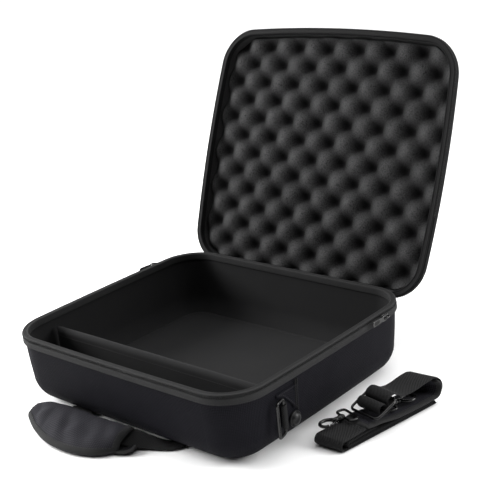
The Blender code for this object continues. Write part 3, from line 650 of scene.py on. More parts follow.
# outline indices with the finer steps: where the coarse solids begin and end
COIL_START = 3 * (ON + OS) - OS + OS // 2       # middle of the left side
COIL_STOP = ON + OS * 3 // 4                    # three quarters along the right side


def coil_mesh(name, centre, out, across, pitch=0.0021, rn=0.0008, rz=0.0012, wire=0.00042):
    """Flattened spiral that runs along a line; out and across span its turns."""
    dist = [0.0]
    for i in range(1, len(centre)):
        dist.append(dist[-1] + (centre[i] - centre[i - 1]).length)
    total = dist[-1]
    turns = int(total / pitch)
    per, sides = 10, 5
    pts = []
    seg = 0
    for k in range(turns * per + 1):
        d = total * k / (turns * per)
        while seg < len(dist) - 2 and dist[seg + 1] < d:
            seg += 1
        t = (d - dist[seg]) / max(dist[seg + 1] - dist[seg], 1e-9)
        c = centre[seg].lerp(centre[seg + 1], t)
        o = out[seg].lerp(out[seg + 1], t).normalized()
        w = across[seg].lerp(across[seg + 1], t).normalized()
        a = 2 * math.pi * k / per
        pts.append(c + o * (rn * math.cos(a)) + w * (rz * math.sin(a)))
    rings = []
    for i, p in enumerate(pts):
        a, b = pts[max(i - 1, 0)], pts[min(i + 1, len(pts) - 1)]
        t = (b - a).normalized()
        s = t.orthogonal().normalized() if i == 0 else (rings_up - t * rings_up.dot(t)).normalized()
        rings_up = s
        q = t.cross(s)
        rings.append([p + (q * math.cos(2 * math.pi * k / sides) + s * math.sin(2 * math.pi * k / sides)) * wire
                      for k in range(sides)])
    return loft(name, rings, COIL, smooth=None)


def rim_line(ring, z, off, start, stop):
    """Points of the coil's middle line with the outward and across directions."""
    mid = ring(off, z)
    outer = ring(off - 0.004, z)
    upper = ring(off, z + 0.004)
    c = outline_span(mid, start, stop)
    o = [(b - a).normalized() for a, b in zip(c, outline_span(outer, start, stop))]
    w = [(b - a).normalized() for a, b in zip(c, outline_span(upper, start, stop))]
    return c, o, w


c, o, w = rim_line(base_ring, RIM_Z - 0.0028, 0.0002, COIL_START, COIL_STOP)
add(coil_mesh("base_zip_teeth", c, o, w), "case_base", "zipper_coil", "base_zipper_coil")
c, o, w = rim_line(lid_ring, 0.0028, 0.0002, COIL_START, COIL_STOP)
add(coil_mesh("lid_zip_teeth", c, o, w), "lid", "zipper_coil", "lid_zipper_coil")

# rows of stitching that hold the binding and the zipper tape
for nm, ring, body, zz, sgn in (("base", base_ring, "case_base", RIM_Z, -1), ("lid", lid_ring, "lid", 0.0, 1)):
    for tag, drop, off in (("lower", 0.0112 if sgn < 0 else 0.0094, -0.0008), ("upper", 0.0062, -0.0006)):
        mid = ring(off, zz + sgn * drop)
        outer = ring(off - 0.004, zz + sgn * drop)
        path = mid + [mid[0]]
        nrm = [(b - a).normalized() for a, b in zip(mid, outer)]
        ob = stitches(f"{nm}_band_stitch_{tag}", path, nrm + [nrm[0]], r=0.00030, sink=-0.0001)
        add(ob, body, "band_fabric")

# ------------------------------------------------------------------ lid shell
rows = []
LR, LI = LID_TOP_R, LID_TOP_R - SHELL_T
rows += [(0.120, LID_H + 0.0012, 0), (0.070, LID_H + 0.0009, 0), (0.040, LID_H + 0.0004, 0)]
for i in range(10, -1, -1):
    a = math.pi / 2 * i / 10
    rows.append((0.0030 + LR * (1 - math.cos(a)), LID_H - LR + LR * math.sin(a), 0))
rows += [(0.0024, 0.0112, 0), (0.0019, 0.0102, 0), (BAND_T + GAP, BAND_T + GAP, 1),
         (BAND_T + GAP + SHELL_T, BAND_T + GAP, 1), (BAND_T + GAP + SHELL_T, 0.0094, 1)]
for i in range(8):
    a = math.pi / 2 * i / 7
    rows.append((0.0030 + SHELL_T + LI * (1 - math.cos(a)), LID_H - LR + LI * math.sin(a), 1))
rows.append((0.060, LID_H - SHELL_T, 1))
ob = loft("lid_shell_skin", [lid_ring(off, t) for off, t, _ in rows], [SHELL, LIT_LID_LINING],
          row_slots=[s for _, _, s in rows], cap_slots=(0, 1))
add(ob, "lid", "shell_fabric", "lid_shell")

# ------------------------------------------------------------------ egg-crate foam
FW, FD, FR = LID_W / 2 - FOAM_EDGE, LID_D / 2 - FOAM_EDGE, LID_R - FOAM_EDGE


def foam_xy(s, y):
    e = max(abs(y) - (FD - FR), 0.0)
    x = s * (FW - FR + math.sqrt(max(FR * FR - e * e, 0.0)))
    bx = LID_BOW_X * (x / FW) * (1 - (y / FD) ** 2)
    by = LID_BOW_F * (y / FD) * (1 - (x / FW) ** 2) if y < 0 else 0.0
    return x + bx, y + by


def foam_depth(x, y):
    """Ball-like peaks with narrow pits, each a little different."""
    j = Vector((x * 18.0, y * 18.0, 3.0))
    dx, dy = 0.0016 * noise.noise(j), 0.0016 * noise.noise(j + Vector((9.0, 4.0, 0.0)))
    a, b = (x + dx - FOAM_X0) / FOAM_PX, (y + dy - FOAM_Y0) / FOAM_PY
    ball = 0.0
    for pa, pb in ((math.floor(a) + 0.5, round(b)), (round(a), math.floor(b) + 0.5)):
        r = math.hypot((a - pa) * FOAM_PX, (b - pb) * FOAM_PY) / 0.0225
        ball += max(1.0 - r * r, 0.0) ** 3.3
    c = math.cos(2 * math.pi * a) * math.cos(2 * math.pi * b)
    s = 0.70 * (1.0 - ((0.52 - 0.5 * c) / 1.02) ** 0.75) + 0.30 * (1.0 - min(ball ** (1.0 / 6.0), 1.0))
    near = FOAM_NEAR + 0.0006 * noise.noise(Vector((x * 9.0, y * 9.0, 7.0)))
    return near + (FOAM_PIT + 0.0010 - near) * s


cols = 168
ys = [FD - FR + FR * math.sin(math.radians(a)) for a in (90, 82, 74, 66, 58, 51, 44, 38, 32, 26, 20, 14, 8, 3)]
mid_rows = 118
ys = ys + [(FD - FR) * (1 - 2 * k / mid_rows) for k in range(mid_rows + 1)] + [-y for y in reversed(ys)]
grid, uvs, faces = [], [], []
for i, y in enumerate(ys):
    for k in range(cols + 1):
        x, yy = foam_xy(2 * k / cols - 1, y)
        d = foam_depth(x, yy)
        edge = min(FW * 1.02 - abs(2 * k / cols - 1) * FW, FD * 1.02 - abs(y))
        d += 0.0016 * math.exp(-max(edge, 0.0) / 0.0022)
        if i in (0, len(ys) - 1) or k in (0, cols):
            d = min(d, 0.0176)
        grid.append((x, yy, d))
nc, nr = cols + 1, len(ys)
for i in range(nr - 1):
    for k in range(cols):
        a = i * nc + k
        faces.append((a, a + 1, a + nc + 1, a + nc))
ring_ids = list(range(nc)) + [i * nc + cols for i in range(1, nr)]
ring_ids += [(nr - 1) * nc + k for k in range(cols - 1, -1, -1)] + [i * nc for i in range(nr - 2, 0, -1)]
ks, kt = (FW - 0.0100) / FW, (FD - 0.0100) / FD
side = len(grid)
grid += [(grid[j][0], grid[j][1], 0.0186) for j in ring_ids]
back = len(grid)
grid += [(grid[j][0] * ks, grid[j][1] * kt, FOAM_BACK) for j in ring_ids]
nb = len(ring_ids)
for j in range(nb):
    k = (j + 1) % nb
    faces.append((ring_ids[k], ring_ids[j], side + j, side + k))
    faces.append((side + k, side + j, back + j, back + k))
faces.append(tuple(reversed(range(back, back + nb))))
verts = [lid_place(x, y + BACK_Y - LID_D / 2, LID_CLOSED_Z + d) for x, y, d in grid]
if volume(verts, faces) < 0:
    faces = [tuple(reversed(f)) for f in faces]
uvs = [(grid[q][0], grid[q][1]) for f in faces for q in f]
ob = mesh("egg_crate_foam", verts, faces, FOAM, uvs, smooth=60.0)
at = ob.data.attributes.new("painted_pit_shade", "FLOAT", "POINT")
pit_shades = []
for x, y, d in grid:
    # painted shade: the flank turned from the light is painted as dim as the pit beside it
    d = 0.65 * d + 0.35 * max(d * 0.80, foam_depth(x + 0.0050, y + 0.0035))
    pit_shades.append(min(max((d - FOAM_NEAR - 0.0004) / (FOAM_PIT - 0.0008 - FOAM_NEAR), 0.0), 1.0))
# painted shadow: the foam's outer rows and columns, its sides and its back are painted fully dark, standing for the
# shadowed gap against the lid's inner wall
for q in range(nc * nr):
    i, k = divmod(q, nc)
    if i < 2 or i > nr - 3 or k < 1 or k > cols - 1:
        pit_shades[q] = 1.0
for q in range(nc * nr, len(grid)):
    pit_shades[q] = 1.0
at.data.foreach_set("value", pit_shades)
add(ob, "lid", "foam", "lid_foam", padded=0.9)

# ------------------------------------------------------------------ inside the base
def pad_ring(off, z, size=0.0004):
    return [p + Vector((0, 0, wobble(p, size, 22.0, 3.0))) for p in base_ring(WALL_INSET + SHELL_T + off, z)]


rows = [(0.0345, SHELL_T + GAP), (0.0262, 0.0068), (0.0205, 0.0092), (0.0176, 0.0106), (0.0172, 0.0114),
        (0.0182, 0.0122), (0.0205, 0.0125), (0.0300, 0.0126), (0.060, 0.0126), (0.100, 0.0126)]
rings = [base_ring(WALL_INSET + SHELL_T + rows[0][0], rows[0][1])] + [pad_ring(o, z) for o, z in rows[1:]]
ob = loft("floor_cushion", rings, LINING)
add(ob, "case_base", "lining", "floor_pad", padded=0.9)
for o, z in ((0.0230, 0.0126),):
    path = [p + Vector((0, 0, 0.0001)) for p in pad_ring(o, z)]
    add(stitches("floor_cushion_seam", path + [path[0]], [Vector((0, 0, 1))] * (len(path) + 1)), "case_base", "lining")


def divider_half(z):
    h = max(BOTTOM_R - z, 0.0)
    foot = WALL_INSET + BOTTOM_R - math.sqrt(max(BOTTOM_R ** 2 - h ** 2, 0.0))
    return BASE_W / 2 - foot - SHELL_T - 0.0030


dy0, dy1, dz0, dz1 = -0.1080, -0.0960, SHELL_T + 0.0080 + 2 * GAP, 0.0800
sect = []
for k in range(11):
    sect.append((dy0 + 0.0004 * math.sin(math.pi * k / 10), dz0 + (dz1 - 0.006 - dz0) * k / 10))
for k in range(1, 12):
    a = math.pi - math.pi * k / 12
    sect.append(((dy0 + dy1) / 2 + 0.0060 * math.cos(a), dz1 - 0.006 + 0.0060 * math.sin(a)))
for k in range(11):
    sect.append((dy1 - 0.0004 * math.sin(math.pi * k / 10), dz1 - 0.006 - (dz1 - 0.006 - dz0) * k / 10))
rings = []
for i in range(61):
    s = -1 + 2 * i / 60
    round_end = math.sqrt(max(1 - max(abs(s) - 0.985, 0.0) ** 2 / 0.015 ** 2, 0.0)) if abs(s) > 0.985 else 1.0
    ring = []
    for y, z in sect:
        yy = (dy0 + dy1) / 2 + (y - (dy0 + dy1) / 2) * (0.35 + 0.65 * round_end)
        p = Vector((s * divider_half(z), yy, z))
        ring.append(p + Vector((0, wobble(p, 0.0007, 16.0, 5.0), 0)))
    rings.append(ring)
add(loft("padded_divider", rings, LINING), "case_base", "lining", "cable_divider", padded=0.9)
for tag, y, sy in (("front", dy0, -1), ("back", dy1, 1)):
    path = [Vector((x * 0.001, y - sy * 0.0001 + wobble(Vector((x * 0.001, y, 0.070)), 0.0007, 16.0, 5.0), 0.0705))
            for x in range(-184, 185, 4)]
    add(stitches("divider_seam_" + tag, path, [Vector((0, sy, 0))] * len(path)), "case_base", "lining")


def ribbon(name, path, across, width, thick, mat, widths=None, edge=0.35, ripple=0.0, seed=0.0, sect_n=10):
    """Flat webbing along a path: rounded edges, weave running along it.
    across is one direction or one per point."""
    rings, m = [], len(path)
    for i, p in enumerate(path):
        a, b = path[max(i - 1, 0)], path[min(i + 1, m - 1)]
        t = (b - a).normalized()
        w = (across[i] if isinstance(across, list) else across).normalized()
        nrm = t.cross(w).normalized()
        hw = (widths[i] if widths else width) / 2
        h = thick / 2
        ring = []
        for k in range(sect_n + 1):
            s = -1 + 2 * k / sect_n
            e = math.sqrt(max(1 - max(abs(s) - (1 - edge * h * 2 / hw), 0.0) ** 2 / (edge * h * 2 / hw) ** 2, 0.0))
            ring.append((s, -h * max(e, 0.25)))
        ring += [(-s, -z) for s, z in ring]
        out = []
        for s, z in ring:
            q = p + w * (s * hw)
            out.append(q + nrm * (z + ripple * noise.noise(Vector((q.x * 40 + seed, q.y * 40, q.z * 40)))))
        rings.append(out)
    ob = loft(name, rings, mat)
    return ob


# ------------------------------------------------------------------ hinge fabric
path = [Vector((0, BACK_Y + 0.0009, 0.0950)), Vector((0, BACK_Y + 0.0009, 0.0880)),
        Vector((0, BACK_Y + 0.0009, 0.0815)), Vector((0, BACK_Y + 0.0016, 0.0792)),
        lid_place(0, BACK_Y + 0.0009, LID_CLOSED_Z + 0.0030), lid_place(0, BACK_Y + 0.0009, LID_CLOSED_Z + 0.0065),
        lid_place(0, BACK_Y + 0.0009, LID_CLOSED_Z + 0.0105)]
line = catmull(path, 5)
ob = ribbon("hinge_fabric", line, Vector((1, 0, 0)), 0.2800, 0.0011, BAND, sect_n=60)
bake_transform(ob)
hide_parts("hinge_panel")


# ------------------------------------------------------------------ strap anchors
def wall_off(z):
    if z < BOTTOM_R:
        return WALL_INSET + BOTTOM_R - math.sqrt(BOTTOM_R ** 2 - (BOTTOM_R - z) ** 2)
    f = min((z - BOTTOM_R) / (RIM_Z - BAND_H - 0.0005 - BOTTOM_R), 1.0)
    return WALL_INSET + (0.0020 - WALL_INSET) * f


def wall_x(y, off):
    d2 = BASE_D / 2 - off
    return BASE_W / 2 - off + BASE_BOW * (1 - (y / d2) ** 2)


def wall(y, z):
    return wall_x(y, wall_off(z))


def inset(poly, d):
    """Polygon drawn in by d (anticlockwise points)."""
    out, n = [], len(poly)
    for i in range(n):
        p0, p1, p2 = (Vector(poly[(i + k) % n]) for k in (-1, 0, 1))
        e0, e1 = (p1 - p0).normalized(), (p2 - p1).normalized()
        n0, n1 = Vector((-e0.y, e0.x)), Vector((-e1.y, e1.x))
        b = n0 + n1
        b = b.normalized() if b.length > 1e-6 else n0
        out.append(tuple(p1 + b * (d / max(b.dot(n0), 0.4))))
    return out


def resample(poly, step):
    out, n = [], len(poly)
    for i in range(n):
        a, b = Vector(poly[i]), Vector(poly[(i + 1) % n])
        k = max(1, int((b - a).length / step))
        out += [tuple(a.lerp(b, j / k)) for j in range(k)]
    return out


def joined(name, obs):
    """Several meshes as one object."""
    import bmesh
    bm = bmesh.new()
    mats = []
    for o in obs:
        base = len(bm.faces)
        me = o.data
        idx = []
        for m in me.materials:
            if m not in mats:
                mats.append(m)
            idx.append(mats.index(m))
        bm.from_mesh(me)
        bm.faces.ensure_lookup_table()
        for f in bm.faces[base:]:
            f.material_index = idx[f.material_index]
    me = bpy.data.meshes.new(name)
    bm.to_mesh(me)
    bm.free()
    for m in mats:
        me.materials.append(m)
    for o in obs:
        bpy.data.objects.remove(o, do_unlink=True)
    me.update()
    ob = bpy.data.objects.new(name, me)
    bpy.context.scene.collection.objects.link(ob)
    return ob


for sx, tag in ((1, "right"), (-1, "left")):
    body = "case_base"
    tri = [(-0.1060, 0.0730), (-0.0940, 0.0690), (-0.0800, 0.0540), (-0.0690, 0.0425),
           (-0.0690, 0.0770), (-0.1060, 0.0770)]
    tri = resample(tri, 0.0022)
    rings = []
    for d, h in ((0.0, 0.0), (0.0, 0.0010), (0.0004, 0.0017), (0.0011, 0.0021), (0.0020, 0.0021), (0.0026, 0.0018),
                 (0.0034, 0.0019), (0.0060, 0.0020)):
        q = inset(tri, d)
        rings.append([Vector((sx * (wall(y, z) + GAP + h), y, z)) for y, z in q])
    patch = loft("anchor_patch_skin_" + tag, rings, SHELL)
    add(patch, body, "shell_fabric", "anchor_patch_" + tag)
    pipes = []
    for j, (yy, z0, z1) in enumerate(((-0.0690, 0.0420, 0.0836), (-0.0722, 0.0470, 0.0836))):
        pth = [Vector((sx * (wall(yy, z0 + (z1 - z0) * k / 12) + 0.0022), yy, z0 + (z1 - z0) * k / 12)) for k in range(13)]
        pipes.append(tube(f"pipe{j}{tag}", pth, 0.00085, WEBBING, sides=10))
    add(joined("anchor_piping_" + tag, pipes), body, "band_fabric")
    q = inset(tri, 0.0026)
    path = [Vector((sx * (wall(y, z) + GAP + 0.0017), y, z)) for y, z in q]
    nrm = [Vector((sx, 0, 0))] * (len(path) + 1)
    add(stitches("anchor_stitch_" + tag, path + [path[0]], nrm), body, "shell_fabric")
    # webbing tab round the ring's inner bar
    yb = -0.0975
    cx = wall(yb, 0.048) + 0.0057
    base = wall(yb, 0.041) + GAP + 0.0003
    line = [(base + 0.0024, yb + 0.0085), (base + 0.0026, yb + 0.0055), (cx + 0.0022, yb + 0.0022),
            (cx + 0.0026, yb - 0.0002), (cx + 0.0016, yb - 0.0023), (cx - 0.0006, yb - 0.0027),
            (cx - 0.0022, yb - 0.0014), (cx - 0.0026, yb + 0.0010), (base + 0.0010, yb + 0.0048),
            (base + 0.0008, yb + 0.0085)]
    pth = catmull([Vector((sx * x, y, 0.0462)) for x, y in line], 5)
    tab = ribbon("anchor_tab_web_" + tag, pth, Vector((0, 0, 1)), 0.0310, 0.0011, WEBBING, sect_n=14)
    add(tab, body, "webbing", "anchor_tab_" + tag)
    rows_st = []
    for zz in (0.0330, 0.0396, 0.0462, 0.0528, 0.0594):
        rows_st.append([Vector((sx * (base + 0.0030), yb + 0.0052 + 0.0030 * k / 3, zz)) for k in range(4)])
    obs = [stitches(f"st{tag}{i}", p, [Vector((sx, 0, 0))] * 4, length=0.0020, gap=0.0005) for i, p in enumerate(rows_st)]
    add(joined("anchor_tab_stitch_" + tag, obs), body, "webbing")
    # rectangular ring, its outer bar broad and flat
    a14 = sx * math.radians(14.0)
    rot = Matrix.Rotation(a14, 3, "Z")
    loop2, radii = [], []
    L, z0, z1, rc = 0.0160, 0.0255, 0.0695, 0.0032
    pts2 = []
    for cyy, czz, a0 in ((L - rc, z0 + rc, -90), (L - rc, z1 - rc, 0), (rc, z1 - rc, 90), (rc, z0 + rc, 180)):
        for k in range(7):
            a = math.radians(a0 + 90 * k / 6)
            pts2.append((cyy + rc * math.cos(a), czz + rc * math.sin(a)))
    fine = []
    for i in range(len(pts2)):
        a, b = Vector(pts2[i]), Vector(pts2[(i + 1) % len(pts2)])
        k = max(1, int((b - a).length / 0.003))
        fine += [a.lerp(b, j / k) for j in range(k)]
    rings = []
    m = len(fine)
    for i, q in enumerate(fine):
        t = (fine[(i + 1) % m] - fine[i - 1]).normalized()
        s = Vector((t.y, -t.x))                     # outward in the ring's own plane
        broad = max(0.0, min(1.0, (q.x - L + 0.0020) / 0.0018))
        inn = 0.0016 + 0.0016 * broad
        outw = 0.0016 + 0.0004 * broad
        ring = []
        for k in range(16):
            ang = 2 * math.pi * k / 16
            c, sn = math.cos(ang), math.sin(ang)
            ca = abs(c) ** 0.8 * (1 if c > 0 else -1)
            off2 = ca * (outw if c > 0 else inn)
            hgt = abs(sn) ** 0.8 * (1 if sn > 0 else -1) * 0.0016
            p2 = q + s * off2
            ring.append(Vector((sx * cx, yb, 0)) + rot @ Vector((hgt, -p2.x, p2.y)))
        rings.append(ring)
    ob = loft("ring_" + tag, rings, METAL, closed=True, smooth=60.0)
    add(ob, "ring_" + tag, "black_metal", "strap_ring_" + tag)
    # dome-headed rivet with a rim ring
    yc, zc = -0.0745, 0.0320
    xw = wall(yc, zc + 0.009) + GAP
    prof = [(0.0096, 0.0), (0.0098, 0.0004), (0.0098, 0.0020), (0.0096, 0.0026), (0.0090, 0.0029), (0.0085, 0.0027),
            (0.0082, 0.0023), (0.0079, 0.0026), (0.0076, 0.0034), (0.0070, 0.0043), (0.0060, 0.0052), (0.0045, 0.0060),
            (0.0030, 0.0065), (0.0014, 0.0068)]
    rings = [[Vector((sx * (xw + h), yc + r * math.cos(2 * math.pi * k / 40), zc + r * math.sin(2 * math.pi * k / 40)))
              for k in range(40)] for r, h in prof]
    ob = loft("rivet_cap_" + tag, rings, RIVET, smooth=50.0)
    add(ob, body, "black_plastic", "anchor_rivet_" + tag)

# ------------------------------------------------------------------ carrying handle
HX, HY0, HZ0, WEB_W, WEB_T = 0.0900, -0.1745, 0.0030, 0.0380, 0.0020


def under(y, drop):
    dy = abs(y) - (BASE_D / 2 - WALL_INSET - BOTTOM_R) - BASE_BOW
    dy = min(max(dy, 0.0), BOTTOM_R)
    return BOTTOM_R - math.sqrt(BOTTOM_R ** 2 - dy ** 2) - drop


for s, tag in ((-1, "left"),):
    pts = []
    for y in (-0.1500, -0.1530, -0.1560, -0.1600, -0.1640, -0.1690, -0.1735):
        if y > -0.1570:
            z = min(under(y, GAP + WEB_T / 2 + 0.0003), 0.0042)
        else:
            z = 0.0042 + (0.0021 - 0.0042) * (abs(y) - 0.1560) / 0.0175
        pts.append(Vector((s * HX, y, max(z, 0.0011))))
    ob = ribbon("handle_anchor_" + tag, catmull(pts, 3), Vector((1, 0, 0)), WEB_W, WEB_T, WEBBING, sect_n=14)
    add(ob, "case_base", "webbing", "handle_end_" + tag)

cen = [(-0.0900, -0.1755, 0.0030), (-0.0900, -0.1785, 0.0046), (-0.0895, -0.1820, 0.0062),
       (-0.0860, -0.1900, 0.0076), (-0.0760, -0.1980, 0.0086), (-0.0580, -0.2020, 0.0092),
       (-0.0300, -0.2030, 0.0094), (0.0000, -0.1990, 0.0092), (0.0160, -0.1930, 0.0088)]
sid = [(0.0190, 0.0), (0.0190, 0.0005), (0.0188, 0.0020), (0.0170, 0.0070), (0.0115, 0.0115),
       (0.0040, 0.0145), (0.0, 0.0150), (-0.0020, 0.0140), (-0.0030, 0.0120)]
line = catmull([Vector(p) for p in cen], 6)
sides = catmull([Vector((x, y, 0)) for x, y in sid], 6)
ob = ribbon("handle_web", line, [s.normalized() for s in sides], 0.038, WEB_T, WEBBING,
            widths=[2 * s.length for s in sides], ripple=0.0003, sect_n=14)
add(ob, "handle", "webbing", "handle_webbing")
# the right leg runs on from the grip and tucks under the case's front edge
cen = [(0.0770, -0.1502, 0.0013), (0.0768, -0.1540, 0.0014), (0.0740, -0.1605, 0.0024), (0.0655, -0.1685, 0.0048),
       (0.0525, -0.1752, 0.0078), (0.0385, -0.1830, 0.0118), (0.0280, -0.1872, 0.0118), (0.0170, -0.1905, 0.0104)]
sid = [(-0.0125, 0.0003, 0.0), (-0.0120, 0.0020, 0.0), (-0.0090, 0.0060, 0.0008), (-0.0060, 0.0062, 0.0030),
       (-0.0040, 0.0065, 0.0055), (-0.0045, 0.0075, 0.0078), (-0.0035, 0.0090, 0.0055), (-0.0032, 0.0095, 0.0020)]
line = catmull([Vector(p) for p in cen], 6)
sides = catmull([Vector(p) for p in sid], 6)
ob = ribbon("handle_leg_right", line, [s.normalized() for s in sides], 0.025, WEB_T, WEBBING,
            widths=[2 * s.length for s in sides], ripple=0.0003, sect_n=14)
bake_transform(ob)
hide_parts("handle_end_right")

# ------------------------------------------------------------------ padded grip
def lerp_table(table, x):
    """Smooth value between the rows of (x, value)."""
    if x <= table[0][0]:
        return table[0][1]
    for (a, p), (b, q) in zip(table, table[1:]):
        if x <= b:
            t = (x - a) / (b - a)
            return p + (q - p) * t
    return table[-1][1]


def smooth_table(points, n=160):
    """Table resampled along a rounded line through the points."""
    line = catmull([Vector((x, y, 0)) for x, y in points], 12)
    return [(p.x, p.y) for p in line]


def thick_sheet(name, grid, thick, mats, uv_flip=False, slot_of=None):
    """Solid sheet either side of a grid of middle points, its four edges rounded."""
    ni, nj = len(grid), len(grid[0])

    def normal(i, j):
        a = grid[min(i + 1, ni - 1)][j] - grid[max(i - 1, 0)][j]
        b = grid[i][min(j + 1, nj - 1)] - grid[i][max(j - 1, 0)]
        n = a.cross(b)
        return n.normalized() if n.length > 1e-12 else Vector((0, 0, 1))

    nrm = [[normal(i, j) for j in range(nj)] for i in range(ni)]
    th = [[(thick(i, j) if callable(thick) else thick) / 2 for j in range(nj)] for i in range(ni)]
    verts = [grid[i][j] + nrm[i][j] * th[i][j] for i in range(ni) for j in range(nj)]
    verts += [grid[i][j] - nrm[i][j] * th[i][j] for i in range(ni) for j in range(nj)]
    off = ni * nj
    su, sv = [0.0], [0.0]
    mi, mj = ni // 2, nj // 2
    for i in range(1, ni):
        su.append(su[-1] + (grid[i][mj] - grid[i - 1][mj]).length)
    for j in range(1, nj):
        sv.append(sv[-1] + (grid[mi][j] - grid[mi][j - 1]).length)
    faces, uvs, slots = [], [], []

    def uv_of(i, j):
        return (sv[j], su[i]) if uv_flip else (su[i], sv[j])

    for i in range(ni - 1):
        for j in range(nj - 1):
            q = [(i, j), (i + 1, j), (i + 1, j + 1), (i, j + 1)]
            faces.append(tuple(a * nj + b for a, b in q))
            uvs += [uv_of(a, b) for a, b in q]
            slots.append(slot_of(i, j, 1) if slot_of else 0)
            q = q[::-1]
            faces.append(tuple(off + a * nj + b for a, b in q))
            uvs += [uv_of(a, b) for a, b in q]
            slots.append(slot_of(i, j, -1) if slot_of else 0)
    edge = [(i, 0) for i in range(ni)] + [(ni - 1, j) for j in range(1, nj)]
    edge += [(i, nj - 1) for i in range(ni - 2, -1, -1)] + [(0, j) for j in range(nj - 2, 0, -1)]
    inner = {}
    base = len(verts)
    for k, (i, j) in enumerate(edge):
        di = 1 if i == 0 else (-1 if i == ni - 1 else 0)
        dj = 1 if j == 0 else (-1 if j == nj - 1 else 0)
        out = Vector()
        if di:
            out += (grid[i][j] - grid[i + di][j]).normalized()
        if dj:
            out += (grid[i][j] - grid[i][j + dj]).normalized()
        out = out.normalized() if out.length > 1e-9 else Vector((0, 0, 0))
        verts.append(grid[i][j] + out * th[i][j] * 0.9)
        inner[k] = base + k
    ne = len(edge)
    run = [0.0]
    for k in range(ne):
        a, b = edge[k], edge[(k + 1) % ne]
        run.append(run[-1] + (grid[a[0]][a[1]] - grid[b[0]][b[1]]).length)
    for k in range(ne):
        m = (k + 1) % ne
        a = edge[k][0] * nj + edge[k][1]
        b = edge[m][0] * nj + edge[m][1]
        faces.append((b, a, inner[k], inner[m]))
        uvs += [(run[k + 1], 0.0), (run[k], 0.0), (run[k], 0.002), (run[k + 1], 0.002)]
        faces.append((inner[m], inner[k], off + a, off + b))
        uvs += [(run[k + 1], 0.002), (run[k], 0.002), (run[k], 0.004), (run[k + 1], 0.004)]
        slots += [slot_of(edge[k][0], edge[k][1], 0) if slot_of else 0] * 2
    if volume(verts, faces) < 0:
        faces = [tuple(reversed(f)) for f in faces]
        uvs = [p for f in range(0, len(uvs), 4) for p in reversed(uvs[f:f + 4])]
    return mesh(name, verts, faces, mats, uvs, slots, 60.0), nrm, th


def edge_band(name, lines, width, rise, wrap, mat, start=None):
    """Binding folded over a sheet's edge.  Each line is (points, normals, half
    thicknesses) walked inwards from the edge."""
    rings = []
    for pts, nrms, hs in lines:
        dist = [0.0]
        for a, b in zip(pts, pts[1:]):
            dist.append(dist[-1] + (b - a).length)

        def at(d):
            d = min(max(d, 0.0), dist[-1])
            for k in range(1, len(dist)):
                if d <= dist[k]:
                    t = (d - dist[k - 1]) / max(dist[k] - dist[k - 1], 1e-9)
                    return (pts[k - 1].lerp(pts[k], t), nrms[k - 1].lerp(nrms[k], t).normalized(),
                            hs[k - 1] + (hs[k] - hs[k - 1]) * t)
            return pts[-1], nrms[-1], hs[-1]

        out = (pts[0] - pts[1]).normalized()
        ring = []
        for d, up in ((width, -0.0004), (width - 0.0002, rise * 0.7), (width - 0.0009, rise), (width * 0.62, rise * 1.05),
                      (width * 0.3, rise), (0.0009, rise * 0.9)):
            p, n, h = at(d)
            ring.append(p + n * (h + up))
        p, n, h = at(0.0)
        ring.append(p + n * (h * 0.75 + rise * 0.6) + out * (h * 0.75))
        ring.append(p + out * (h + rise))
        ring.append(p - n * (h * 0.75 + rise * 0.6) + out * (h * 0.75))
        for d, up in ((0.0009, rise * 0.9), (wrap, rise * 0.8), (wrap + 0.0003, -0.0004)):
            p, n, h = at(d)
            ring.append(p - n * (h + up))
        p, n, h = at(wrap * 0.6)
        ring.append(p - n * (h * 0.4))
        ring.append(p + n * (h * 0.4))
        rings.append(ring)
    # u runs along the tape
    n = len(rings[0])
    verts = [v for r in rings for v in r]
    faces, uvs = [], []
    run = [0.0]
    for a, b in zip(rings, rings[1:]):
        run.append(run[-1] + (b[4] - a[4]).length)
    girth = [0.0]
    for k in range(n):
        girth.append(girth[-1] + (rings[0][(k + 1) % n] - rings[0][k]).length)
    for i in range(len(rings) - 1):
        for k in range(n):
            m = (k + 1) % n
            faces.append((i * n + k, i * n + m, (i + 1) * n + m, (i + 1) * n + k))
            uvs += [(run[i], girth[k]), (run[i], girth[k + 1]), (run[i + 1], girth[k + 1]), (run[i + 1], girth[k])]
    for base, flip in ((0, True), ((len(rings) - 1) * n, False)):
        f = [base + k for k in range(n)]
        f = f[::-1] if flip else f
        faces.append(tuple(f))
        uvs += [(0.0, girth[k]) for k in range(n)]
    if volume(verts, faces) < 0:
        cnt = [len(f) for f in faces]
        faces = [tuple(reversed(f)) for f in faces]
        q, new = 0, []
        for c in cnt:
            new += uvs[q:q + c][::-1]
            q += c
        uvs = new
    return mesh(name, verts, faces, mat, uvs, None, 50.0)


G_NEAR = smooth_table([(-0.1475, -0.1950), (-0.1440, -0.2010), (-0.1300, -0.2110), (-0.0980, -0.2270), (-0.0610, -0.2385),
                       (-0.0220, -0.2390), (0.0087, -0.2290), (0.0240, -0.2140), (0.0300, -0.2060), (0.0440, -0.1950)])
G_FOLD = smooth_table([(-0.1475, -0.1880), (-0.1440, -0.1835), (-0.1350, -0.1800), (-0.1150, -0.1778), (-0.0850, -0.1770),
                       (-0.0200, -0.1772), (0.0300, -0.1765), (0.0460, -0.1775)])
G_TOP = smooth_table([(-0.1475, 0.0075), (-0.1440, 0.0105), (-0.1350, 0.0150), (-0.1150, 0.0195), (-0.0850, 0.0220),
                      (-0.0500, 0.0226), (-0.0100, 0.0232), (0.0300, 0.0236), (0.0460, 0.0236)])
